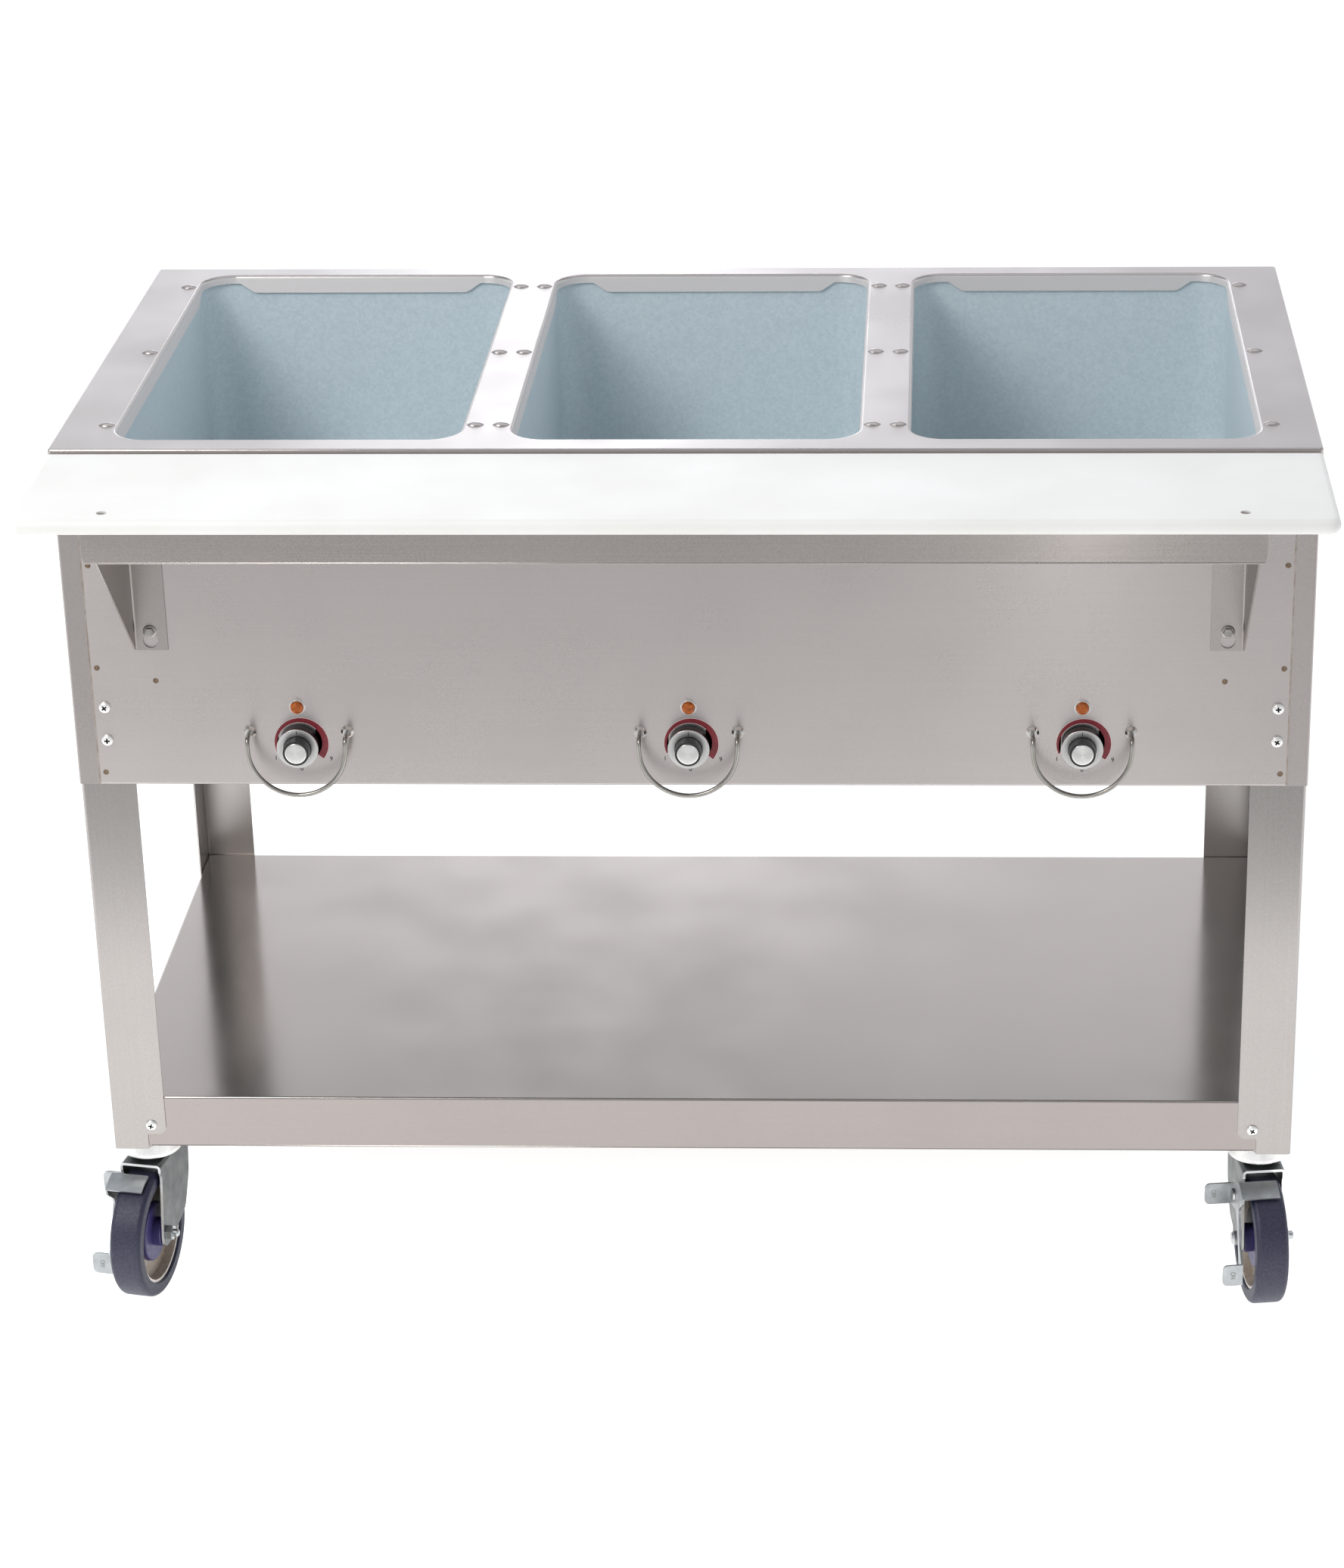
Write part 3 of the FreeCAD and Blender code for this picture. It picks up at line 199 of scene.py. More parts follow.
paperGlow = addNode(tree, "ValToRGB", {"Fac": glowAlong})
paperGlow.color_ramp.interpolation = "EASE"
setRamp(paperGlow, [((y - glowFrom) / (glowTo - glowFrom), (v, v, v, 1.0)) for y, v in studio["floorGlow"]])
pool, poolRadius, farRadius, farStrength = studio["farGlow"]
outward = addNode(tree, "VectorMath", {0: onPaper, 1: pool}, operation="DISTANCE").outputs["Value"]
farGlow = addNode(tree, "MapRange", {"Value": outward, 1: poolRadius, 2: farRadius, 3: 0.0,
                                     4: farStrength}).outputs[0]
inFront = addNode(tree, "Math", {0: 1.0, 1: nearTable}, operation="SUBTRACT").outputs[0]
paperStrength = addNode(tree, "Math", {0: farGlow, 1: inFront, 2: paperGlow.outputs["Color"]},
                        operation="MULTIPLY_ADD").outputs[0]
# painted light: the paper's emission makes the floor glow though it is no lamp
tree.links.new(paperStrength, shader.inputs["Emission Strength"])
# painted shade: the darker paper in front of the table
paperTone = addNode(tree, "MixRGB", {"Fac": nearTable, 1: linear(studio["floorShade"]),
                                     2: linear(studio["floorWhite"])}).outputs[0]
tree.links.new(paperTone, shader.inputs["Base Color"])
floorMesh.materials.append(floorPaper)

world = bpy.data.worlds.new("studioSurround")
scene.world = world
world.use_nodes = True
tree = world.node_tree
direction = addNode(tree, "TexCoord").outputs["Generated"]
parts = addNode(tree, "SeparateXYZ", {0: direction})
glow = addNode(tree, "ValToRGB", {"Fac": parts.outputs["Z"]})
glowStops = (*studio["glowDeck"], *studio["glowShelf"], (1.0, studio["glowTop"]))
tint = linear(studio["surround"])
setRamp(glow, [(place, tuple(v / studio["glowScale"] * channel for channel in tint[:3]) + (1.0,))
               for place, v in glowStops])
facing = addNode(tree, "MapRange", {"Value": parts.outputs["Y"], 1: studio["frontFade"][0],
                                    2: studio["frontFade"][1], 3: studio["frontShare"], 4: 1.0}).outputs[0]
paneLow, paneHigh = studio["pane"][0][0], studio["pane"][-1][0]
across = addNode(tree, "MapRange", {"Value": parts.outputs["X"], 1: paneLow, 2: paneHigh}).outputs[0]
pane = addNode(tree, "ValToRGB", {"Fac": across})
setRamp(pane, [((x - paneLow) / (paneHigh - paneLow), ((gain - 1) / studio["paneScale"],) * 3 + (1.0,))
               for x, gain in studio["pane"]])
lowDown = addNode(tree, "MapRange", {"Value": parts.outputs["Z"], 1: studio["paneTop"][0],
                                     2: studio["paneTop"][1], 3: studio["paneScale"],
                                     4: -studio["paneScale"] * studio["paneDip"]}).outputs[0]
highUp = addNode(tree, "MapRange", {"Value": parts.outputs["Z"], 1: studio["dipTop"][0],
                                    2: studio["dipTop"][1], 3: 1.0, 4: 0.0}).outputs[0]
lowDown = addNode(tree, "Math", {0: lowDown, 1: highUp}, operation="MULTIPLY").outputs[0]
behind = addNode(tree, "MapRange", {"Value": parts.outputs["Y"], 1: studio["paneFade"][0],
                                    2: studio["paneFade"][1]}).outputs[0]
inPane = addNode(tree, "Math", {0: lowDown, 1: behind}, operation="MULTIPLY").outputs[0]
gain = addNode(tree, "Math", {0: inPane, 1: pane.outputs["Color"], 2: 1.0},
               operation="MULTIPLY_ADD").outputs[0]
brightness = addNode(tree, "Math", {0: facing, 1: gain}, operation="MULTIPLY").outputs[0]
background = tree.nodes["Background"]
tree.links.new(glow.outputs["Color"], background.inputs["Color"])
strength = addNode(tree, "Math", {0: brightness, 1: studio["glowScale"]}, operation="MULTIPLY").outputs[0]
tree.links.new(strength, background.inputs["Strength"])

for name, place, aim, width, tall, watts in studio["softBoxes"]:
    lamp = bpy.data.lights.new(name, "AREA")
    lamp.shape = "RECTANGLE"
    lamp.size = width
    lamp.size_y = tall
    lamp.energy = watts
    lampObject = bpy.data.objects.new(name, lamp)
    lampObject.location = place
    lampObject.rotation_euler = (Vector(aim) - Vector(place)).to_track_quat("-Z", "Y").to_euler()
    scene.collection.objects.link(lampObject)
print("floor and soft light ready")


# materials
noiseLow, noiseHigh = 0.3, 0.7  # most values of a noise lie between these
flangeTurn = (0.25, 0.6)  # normals this low belong to bent-down faces, and above the second to flat ones
glossDrift = 0.05  # how far the gloss of plated, moulded and spun pieces drifts either way


def brushedStainless(name, look):
    # 18-8 sheet with a fine belt-brushed finish: reflections smear across the grain, sandy close up
    material, tree, shader = newMaterial(name, {
        "Base Color": linear(look["colour"]), "Metallic": 1.0, "Roughness": look["roughness"],
        "Anisotropic": look["anisotropic"]})
    place = addNode(tree, "TexCoord").outputs["Object"]
    stretch = [1000 / (look["grainLong"] if way > 0.5 else look["grainWide"]) for way in look["grain"]]
    grainPlace = addNode(tree, "Mapping", {"Vector": place, "Scale": stretch}).outputs[0]
    lines = addNode(tree, "TexNoise", {"Vector": grainPlace, "Scale": 1.0, "Detail": 3.0,
                                       "Roughness": 0.6}).outputs["Fac"]
    sand = addNode(tree, "TexNoise", {"Vector": place, "Scale": 1000 / look["sand"], "Detail": 2.0,
                                      "Roughness": 0.7}).outputs["Fac"]
    patches = addNode(tree, "TexNoise", {"Vector": place, "Scale": 1000 / look["patch"],
                                         "Detail": 2.0}).outputs["Fac"]
    faint = addNode(tree, "Math", {0: lines, 1: look["lineShare"]}, operation="MULTIPLY").outputs[0]
    grit = addNode(tree, "Math", {0: sand, 1: 1 - look["lineShare"], 2: faint},
                   operation="MULTIPLY_ADD").outputs[0]
    rubbed = addNode(tree, "MapRange", {"Value": patches, 1: noiseLow, 2: noiseHigh, 3: -look["rub"],
                                        4: look["rub"]}).outputs[0]
    scored = addNode(tree, "MapRange", {"Value": grit, 1: noiseLow, 2: noiseHigh,
                                        3: look["roughness"] - look["score"],
                                        4: look["roughness"] + look["score"]}).outputs[0]
    rough = addNode(tree, "Math", {0: scored, 1: rubbed}, operation="ADD").outputs[0]
    normal = addNode(tree, "NewGeometry").outputs["Normal"]
    ramp = addNode(tree, "ValToRGB", {"Fac": grit})
    tone = setRamp(ramp, [(noiseLow, linear(look["dark"])), (noiseHigh, linear(look["colour"]))])
    if "flange" in look:
        # faces bent down from the sheet, told by how little their normal looks up; they take a painted tone:
        # painted light added on the deck, painted shade multiplied in on the undershelf
        flange = look["flange"]
        upward = addNode(tree, "SeparateXYZ", {0: normal}).outputs["Z"]
        bentDown = addNode(tree, "MapRange", {"Value": upward, 1: flangeTurn[0], 2: flangeTurn[1], 3: 1.0,
                                              4: 0.0}).outputs[0]
        if "inside" in flange:
            middle, half = flange["inside"]
            offset = addNode(tree, "VectorMath", {0: place, 1: middle}, operation="SUBTRACT").outputs[0]
            share = addNode(tree, "VectorMath", {0: offset, 1: half}, operation="DIVIDE").outputs[0]
            share = addNode(tree, "VectorMath", {0: share}, operation="ABSOLUTE").outputs[0]
            ways = addNode(tree, "SeparateXYZ", {0: share}).outputs
            furthest = addNode(tree, "Math", {0: ways["X"], 1: ways["Y"]}, operation="MAXIMUM").outputs[0]
            within = addNode(tree, "Math", {0: furthest, 1: 1.0}, operation="LESS_THAN").outputs[0]
            bentDown = addNode(tree, "Math", {0: bentDown, 1: within}, operation="MULTIPLY").outputs[0]
        rough = addNode(tree, "Math", {0: bentDown, 1: flange["dull"], 2: rough},
                        operation="MULTIPLY_ADD").outputs[0]
        if flange["haze"]:
            metallic = addNode(tree, "Math", {0: bentDown, 1: -flange["haze"], 2: 1.0},
                               operation="MULTIPLY_ADD").outputs[0]
            tree.links.new(metallic, shader.inputs["Metallic"])
        paintedFlangeTone = addNode(tree, "MixRGB", {"Fac": 1.0, 1: tone, 2: linear(flange["tint"])},
                             blend_type=flange["blend"]).outputs[0]
        tone = addNode(tree, "MixRGB", {"Fac": bentDown, 1: tone, 2: paintedFlangeTone}).outputs[0]
    tree.links.new(rough, shader.inputs["Roughness"])
    tree.links.new(tone, shader.inputs["Base Color"])
    bump = addNode(tree, "Bump", {"Height": lines, "Strength": look["bump"], "Distance": 0.0001})
    tree.links.new(bump.outputs[0], shader.inputs["Normal"])
    across = addNode(tree, "VectorMath", {0: normal, 1: look["grain"]}, operation="CROSS_PRODUCT").outputs[0]
    tree.links.new(across, shader.inputs["Tangent"])
    return material


# brush lines 0.3 mm wide and a 0.2 mm grit are too fine for the render: drawn 1.2 mm and 1.3 mm across
sheetLook = {"colour": "#bab3b0", "dark": "#b4adaa", "roughness": 0.29, "anisotropic": 0.75, "bump": 0.05,
             "grainLong": 220.0, "grainWide": 1.2, "sand": 1.3, "lineShare": 0.3, "patch": 130.0,
             "rub": 0.03, "score": 0.01, "grain": (1.0, 0.03, 0.02)}
stainless = brushedStainless("brushedStainless", sheetLook)
# the deck: the flanges turned down round its openings are duller and less metallic, and grey is added to
# their colour as painted light, so they read pale and hazy
deckStainless = brushedStainless("brushedStainlessDeck", {
    **sheetLook, "roughness": 0.25, "anisotropic": 0.85,
    "flange": {"dull": 0.25, "haze": 0.75, "tint": "#8a8a8a", "blend": "ADD",
               "inside": ((deckLow + deckHigh) / 2, (deckHigh - deckLow) / 2 - Vector((0.01, 0.01, 0)))}})
# end panels and brackets: grain from front to back, and a shade darker as painted shade
endStainless = brushedStainless("brushedStainlessEndsPaintedShade", {
    **sheetLook, "colour": "#aca5a2", "dark": "#a19b97", "grain": (0.03, 1.0, 0.02)})
# front legs: grain up the leg, and darker as painted shade
legStainless = brushedStainless("brushedStainlessLegsPaintedShade", {
    **sheetLook, "colour": "#a5a09d", "dark": "#9a9592", "grain": (0.03, 0.02, 1.0)})
# rear legs: lighter, as painted light
rearLegStainless = brushedStainless("brushedStainlessRearLegsPaintedLight", {
    **sheetLook, "colour": "#c6c1be", "dark": "#bcb7b4", "grain": (0.03, 0.02, 1.0)})
# the tray is a shade darker than the panel behind it: partly its own sheet, partly painted shade
trayStainless = brushedStainless("brushedStainlessTray", {
    **sheetLook, "colour": "#b0a9a5", "dark": "#9e9792"})
# the undershelf: a smoother mill finish that mirrors the rear legs; its faces that look down or sideways are
# darkened with painted shade
shelfStainless = brushedStainless("millFinishStainless", {
    **sheetLook, "colour": "#bdb4ae", "dark": "#b6ada7", "roughness": 0.18, "anisotropic": 0.3, "bump": 0.03,
    "flange": {"dull": 0.06, "haze": 0.0, "tint": "#d0d0d3", "blend": "MULTIPLY"}})


def galvanisedSheet(name, look):
    # hot-dip zinc: a fine pale frost of small crystals, each with its own tone and gloss
    material, tree, shader = newMaterial(name, {
        "Base Color": linear(look["pale"]), "Metallic": look["metallic"], "Roughness": look["roughness"]})
    place = addNode(tree, "TexCoord").outputs["Object"]
    wobble = addNode(tree, "TexNoise", {"Vector": place, "Scale": 1000 / look["spangle"],
                                        "Detail": 2.0}).outputs["Color"]
    bent = addNode(tree, "MixRGB", {"Fac": 0.006, 1: place, 2: wobble}).outputs[0]
    crystal = addNode(tree, "TexVoronoi", {"Vector": bent, "Scale": 1000 / look["spangle"]}).outputs["Color"]
    value = addNode(tree, "SeparateXYZ", {0: crystal}).outputs["X"]
    tone = addNode(tree, "ValToRGB", {"Fac": value})
    setRamp(tone, [(0.0, linear(look["deep"])), (1.0, linear(look["pale"]))])
    tree.links.new(tone.outputs["Color"], shader.inputs["Base Color"])
    rough = addNode(tree, "MapRange", {"Value": value, 3: look["roughness"] - look["gloss"],
                                       4: look["roughness"] + look["gloss"]}).outputs[0]
    tree.links.new(rough, shader.inputs["Roughness"])
    bump = addNode(tree, "Bump", {"Height": value, "Strength": 0.04, "Distance": 0.0002})
    tree.links.new(bump.outputs[0], shader.inputs["Normal"])
    return material


# crystals of 1 mm are too fine for the render, so they are drawn 2.6 mm across
galvanised = galvanisedSheet("galvanisedSheet", {
    "pale": "#d4dfe3", "deep": "#c8d4d9", "roughness": 0.5, "metallic": 0.2, "spangle": 2.6, "gloss": 0.06})
# the panel under the body: darker, as painted shade under the body
galvanisedShaded = galvanisedSheet("galvanisedSheetPaintedShade", {
    "pale": "#87949a", "deep": "#768389", "roughness": 0.5, "metallic": 0.3, "spangle": 2.6, "gloss": 0.06})


def mottled(name, look, sockets=None):
    # a moulded, plated or sprayed surface: fine grit in the bump, slow drift in tone and gloss
    material, tree, shader = newMaterial(name, {
        "Base Color": linear(look["pale"]), "Roughness": look["roughness"], **(sockets or {})})
    place = addNode(tree, "TexCoord").outputs["Object"]
    drift = addNode(tree, "TexNoise", {"Vector": place, "Scale": 1000 / look["drift"],
                                       "Detail": 3.0}).outputs["Fac"]
    tone = addNode(tree, "ValToRGB", {"Fac": drift})
    colour = setRamp(tone, [(noiseLow, linear(look["deep"])), (noiseHigh, linear(look["pale"]))])
    if "edge" in look:
        # painted highlight: faces that look to the piece's own front, the sheared edges among them, are
        # turned near white and less metallic
        edge = look["edge"]
        own = addNode(tree, "SeparateXYZ", {0: addNode(tree, "TexCoord").outputs["Normal"]}).outputs["Y"]
        paintedEdgeHighlight = addNode(tree, "MapRange", {"Value": own, 1: edge["turn"][0], 2: edge["turn"][1], 3: 1.0,
                                             4: 0.0}).outputs[0]
        colour = addNode(tree, "MixRGB", {"Fac": paintedEdgeHighlight, 1: colour, 2: linear(edge["colour"])}).outputs[0]
        metallic = addNode(tree, "Math", {0: paintedEdgeHighlight, 1: -edge["haze"], 2: 1.0},
                           operation="MULTIPLY_ADD").outputs[0]
        tree.links.new(metallic, shader.inputs["Metallic"])
    tree.links.new(colour, shader.inputs["Base Color"])
    rough = addNode(tree, "MapRange", {"Value": drift, 1: noiseLow, 2: noiseHigh,
                                       3: look["roughness"] + glossDrift,
                                       4: look["roughness"] - glossDrift}).outputs[0]
    tree.links.new(rough, shader.inputs["Roughness"])
    grit = addNode(tree, "TexNoise", {"Vector": place, "Scale": 1000 / look["grit"],
                                      "Detail": 2.0}).outputs["Fac"]
    bump = addNode(tree, "Bump", {"Height": grit, "Strength": look["bump"], "Distance": look["grit"] / 5000})
    tree.links.new(bump.outputs[0], shader.inputs["Normal"])
    return material


# high-density polyethylene, planed and fine-textured: milky white with a dull gloss
boardPlastic = mottled("polyethyleneBoard", {
    "pale": "#e9e7e3", "deep": "#e4e2dd", "roughness": 0.5, "drift": 90.0, "grit": 1.2, "bump": 0.1},
    {"Subsurface Weight": 0.15, "Subsurface Radius": (0.004, 0.004, 0.004)})
# bright zinc plate on axles, nuts and switch shafts: bluish grey, a little cloudy
zincPlate = mottled("zincPlatedSteel", {
    "pale": "#c3c4c4", "deep": "#adb0b2", "roughness": 0.3, "drift": 14.0, "grit": 0.8, "bump": 0.05},
    {"Metallic": 1.0})
# pressed fork: zinc over a rolled surface, set a darker grey as painted shade, with a painted highlight on
# the sheared edges that face its front
forkPlate = mottled("zincPlatedPressing", {
    "pale": "#6c6f6f", "deep": "#5b5e60", "roughness": 0.34, "drift": 14.0, "grit": 0.8, "bump": 0.05,
    "edge": {"colour": "#f4f4f2", "turn": (-0.9, -0.75), "haze": 0.4}},
    {"Metallic": 1.0})
# nickel-plated screws, caster stems and lamp bezels: near white where they catch the light
nickelPlate = mottled("nickelPlatedSteel", {
    "pale": "#f4f3f1", "deep": "#eae8e5", "roughness": 0.3, "drift": 6.0, "grit": 0.5, "bump": 0.03},
    {"Metallic": 0.6})
# pressed brake levers: fresh zinc, pale and softly bright
leverPlate = mottled("zincPlatedLever", {
    "pale": "#acafb0", "deep": "#9b9ea0", "roughness": 0.36, "drift": 10.0, "grit": 0.7, "bump": 0.04},
    {"Metallic": 0.9})
# cold-drawn stainless wire: satin, set a shade darker than the plated parts as painted shade, so its
# reflections don't wash out
guardWire = mottled("drawnStainlessWire", {
    "pale": "#a5a19b", "deep": "#938f89", "roughness": 0.3, "drift": 20.0, "grit": 0.6, "bump": 0.03},
    {"Metallic": 1.0})
# turned stainless bolts: satin, with a slow drift in tone
boltSteel = mottled("turnedStainless", {
    "pale": "#aaa6a1", "deep": "#95918c", "roughness": 0.3, "drift": 5.0, "grit": 0.5, "bump": 0.04},
    {"Metallic": 1.0})
# painted shade at the bottom of a driver recess
recessShade = mottled("paintedRecessShade", {
    "pale": "#2b2724", "deep": "#1a1816", "roughness": 0.8, "drift": 2.0, "grit": 0.5, "bump": 0.2})
# turned bosses of the knob guards, buffed bright
brightSteel = mottled("buffedSteel", {
    "pale": "#e2e1de", "deep": "#d4d2cf", "roughness": 0.16, "drift": 20.0, "grit": 0.6, "bump": 0.02},
    {"Metallic": 1.0})
# phenolic moulded knob: near black with a moulded sheen
knobPlastic = mottled("mouldedPhenolic", {
    "pale": "#191817", "deep": "#121111", "roughness": 0.34, "drift": 8.0, "grit": 0.6, "bump": 0.05})
# moulded acrylic lens: clear amber that glows at its edges
amberLens = mottled("mouldedAcrylic", {
    "pale": "#d8700a", "deep": "#9a4604", "roughness": 0.16, "drift": 3.0, "grit": 0.7, "bump": 0.08},
    {"Transmission Weight": 0.25, "IOR": 1.49, "Subsurface Weight": 0.3,
     "Subsurface Radius": (0.003, 0.0015, 0.0005)})
# thermoset switch bodies and terminal block: dull dark brown
switchPhenolic = mottled("mouldedThermoset", {
    "pale": "#37322d", "deep": "#2b2723", "roughness": 0.5, "drift": 12.0, "grit": 0.8, "bump": 0.08})
# nylon gland with a moulded satin
glandNylon = mottled("mouldedNylon", {
    "pale": "#232323", "deep": "#1b1b1b", "roughness": 0.42, "drift": 10.0, "grit": 0.7, "bump": 0.06})
# braided glass sleeve on the wiring
wireSleeve = mottled("glassSleeving", {
    "pale": "#d8d2c2", "deep": "#bdb6a4", "roughness": 0.75, "drift": 5.0, "grit": 1.0, "bump": 0.25})
# bonded mineral wool under the wells
mineralWool = mottled("mineralWool", {
    "pale": "#d9c878", "deep": "#b9a55a", "roughness": 0.95, "drift": 16.0, "grit": 2.4, "bump": 0.6})
# nickel alloy heater sheath, straw and blue from heat
heaterSheath = mottled("heatTintedSheath", {
    "pale": "#8a7f74", "deep": "#5d565c", "roughness": 0.4, "drift": 30.0, "grit": 0.8, "bump": 0.08},
    {"Metallic": 0.9})


def wheelMoulding(name, look, axle):
    # moulded in rings of different colour about the axle, a little cloudy
    material, tree, shader = newMaterial(name, {"Base Color": linear(look["zones"][0][1]),
                                                "Roughness": look["roughness"]})
    place = addNode(tree, "TexCoord").outputs["Object"]
    offset = addNode(tree, "VectorMath", {0: place, 1: axle["pos_m"]}, operation="SUBTRACT").outputs[0]
    around = addNode(tree, "VectorMath", {0: offset, 1: axle["axis"]}, operation="CROSS_PRODUCT").outputs[0]
    radius = addNode(tree, "VectorMath", {0: around}, operation="LENGTH").outputs["Value"]
    share = addNode(tree, "Math", {0: radius, 1: look["outside"]}, operation="DIVIDE").outputs[0]
    zones = addNode(tree, "ValToRGB", {"Fac": share})
    zones.color_ramp.interpolation = look["change"]
    setRamp(zones, [(start / look["outside"], linear(colour)) for start, colour in look["zones"]])
    cloud = addNode(tree, "TexNoise", {"Vector": place, "Scale": 1000 / look["cloud"], "Detail": 4.0,
                                      "Roughness": 0.7}).outputs["Fac"]
    shade = addNode(tree, "ValToRGB", {"Fac": cloud})
    setRamp(shade, [(noiseLow, linear(look["shade"])), (noiseHigh, linear("#ffffff"))])
    tone = addNode(tree, "MixRGB", {"Fac": 1.0, 1: zones.outputs["Color"], 2: shade.outputs["Color"]},
                   blend_type="MULTIPLY").outputs[0]
    tree.links.new(tone, shader.inputs["Base Color"])
    rough = addNode(tree, "MapRange", {"Value": cloud, 1: noiseLow, 2: noiseHigh,
                                       3: look["roughness"] + look["gloss"],
                                       4: look["roughness"] - look["gloss"]}).outputs[0]
    tree.links.new(rough, shader.inputs["Roughness"])
    bump = addNode(tree, "Bump", {"Height": cloud, "Strength": 0.06, "Distance": 0.0003})
    tree.links.new(bump.outputs[0], shader.inputs["Normal"])
    return material


# polypropylene: blue cover pressed into a grey-brown web, the outer edge of the rim pale
wheelLook = {"zones": ((0.0, "#3d3670"), (0.0294, "#a3978a"), (0.0472, "#f1ece6")), "change": "CONSTANT",
             "outside": 0.050, "shade": "#cfcbc6", "roughness": 0.42, "gloss": 0.06, "cloud": 5.0}
# cast polyurethane: navy shoulders and a tread that is grey with dust
tyreLook = {"zones": ((0.0, "#14173a"), (0.0612, "#181b3c"), (0.0630, "#333349")), "change": "LINEAR",
            "outside": 0.0635, "shade": "#a9a9b4", "roughness": 0.5, "gloss": 0.06, "cloud": 2.4}
print("materials ready")

sides = ("left", "middle", "right")
corners = ("front_left", "front_right", "rear_left", "rear_right")
# screws, bracket bolts and knob trims are replaced further down, so their plain plate isn't seen
finishes = {
    "top_deck": deckStainless, "front_panel": stainless, "back_panel": stainless,
    "left_end_panel": endStainless, "right_end_panel": endStainless, "bottom_panel": galvanisedShaded,
    "undershelf": shelfStainless, "board_shelf": trayStainless, "board_brackets": endStainless,
    "carving_board": boardPlastic, "heating_elements": heaterSheath, "well_insulation": mineralWool,
    "panel_screws": zincPlate, "shelf_screws": zincPlate, "bracket_bolts": zincPlate,
    "switch_bodies": switchPhenolic, "pilot_bezels": nickelPlate, "pilot_lenses": amberLens,
    "knob_guards": guardWire, "guard_bosses": brightSteel, "terminal_block": switchPhenolic,
    "cord_gland": glandNylon, "wiring_loom": wireSleeve, "caster_stems": nickelPlate, "stem_nuts": zincPlate,
    "front_left_brake_lever": leverPlate, "front_right_brake_lever": leverPlate,
}
for side in sides:
    finishes["well_" + side] = galvanised
    finishes["switch_shaft_" + side] = zincPlate
    finishes["knob_" + side] = knobPlastic
    finishes["knob_trim_" + side] = zincPlate
for corner in corners:
    finishes[corner + "_leg"] = legStainless if corner.startswith("front") else rearLegStainless
    finishes[corner + "_fork"] = forkPlate
    finishes[corner + "_axle"] = zincPlate
    axle = joints[corner + "_spin"]
    finishes[corner + "_wheel"] = wheelMoulding(corner + "_wheelMoulding", wheelLook, axle)
    finishes[corner + "_tyre"] = wheelMoulding(corner + "_castTyre", tyreLook, axle)
for node, finish in finishes.items():
    slots = frame["nodes"][node].data.materials
    slots.clear()
    slots.append(finish)
bare = sorted(set(frame["nodes"]) - set(finishes))
print("finishes set on", len(finishes), "nodes; without one:", bare)

# pieces that are made here: fasteners, knob trims, printed scales, weld marks and folded edges
sharpFrom = 32.0  # degrees between two faces from which their edge stays hard
samePoint = 1e-6  # metres within which points are one


def lathe(bm, profile, turns, matrix):
    # rings about the matrix's Z axis from (radius, height) pairs in mm; a radius of 0 closes to a point
    rings = []
    for radius, height in profile:
        count = turns if radius else 1
        angles = [2 * math.pi * step / count for step in range(count)]
        spots = [Vector((radius * math.cos(a), radius * math.sin(a), height)) / 1000 for a in angles]
        rings.append([bm.verts.new(matrix @ spot) for spot in spots])
    for low, high in zip(rings, rings[1:]):
        for step in range(turns):
            here, there = step, (step + 1) % turns
            loop = (low[here % len(low)], low[there % len(low)],
                    high[there % len(high)], high[here % len(high)])
            bm.faces.new(list(dict.fromkeys(loop)))
    return rings


def pointing(place, outward):
    # a frame at a place, with its Z axis along outward
    return Matrix.Translation(place) @ Vector(outward).to_track_quat("Z", "Y").to_matrix().to_4x4()


def facingFront(place):
    # a frame at a place, with its Z axis out of the table's front
    return Matrix.Translation(place) @ Matrix.Rotation(math.radians(90), 4, "X")


def makePiece(name, bm, material, body, place=(0, 0, 0)):
    bmesh.ops.remove_doubles(bm, verts=bm.verts, dist=samePoint)
    bmesh.ops.recalc_face_normals(bm, faces=bm.faces)
    mesh = bpy.data.meshes.new(name)
    bm.to_mesh(mesh)
    bm.free()
    mesh.shade_smooth()
    mesh.set_sharp_from_angle(angle=math.radians(sharpFrom))
    mesh.materials.append(material)
    piece = bpy.data.objects.new(name, mesh)
    piece.location = place
    scene.collection.objects.link(piece)
    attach(piece, body)
    return piece


def solidBoxes(node):
    # lowest and highest corner of each separate solid in a node
    bm = bmesh.new()
    bm.from_mesh(frame["nodes"][node].data)
    bmesh.ops.remove_doubles(bm, verts=bm.verts, dist=samePoint)
    waiting = set(bm.verts)
    boxes = []
    while waiting:
        stack = [waiting.pop()]
        spots = []
        while stack:
            vert = stack.pop()
            spots.append(tuple(vert.co))
            near = {edge.other_vert(vert) for edge in vert.link_edges} & waiting
            waiting -= near
            stack.extend(near)
        boxes.append(([min(way) for way in zip(*spots)], [max(way) for way in zip(*spots)]))
    bm.free()
    return [(Vector(low), Vector(high)) for low, high in sorted(boxes)]


# pan-head screws with a cross recess, in mm from the face they sit on
screwShape = {
    "profile": ((0, -11), (2.4, -11), (2.4, 0), (5.35, 0), (5.5, 0.35), (5.45, 1.0), (5.1, 1.75),
                (4.45, 2.45), (3.7, 2.95), (3.0, 3.15)),
    "turns": 24, "rise": 3.2, "crown": 3.15, "arm": 2.6, "slotHalf": 0.75, "floor": 1.4, "floorArm": 1.9,
    "floorHalf": 0.5, "turnStep": 37.0}


def crossLoop(bm, arm, half, height, matrix):
    corner = [(arm, -half), (arm, half), (half, half)]
    spots = []
    for quarter in range(4):
        turned = Matrix.Rotation(math.radians(90 * quarter), 4, "Z")
        spots += [turned @ Vector((x, y, height)) / 1000 for x, y in corner]
    return [bm.verts.new(matrix @ spot) for spot in spots]


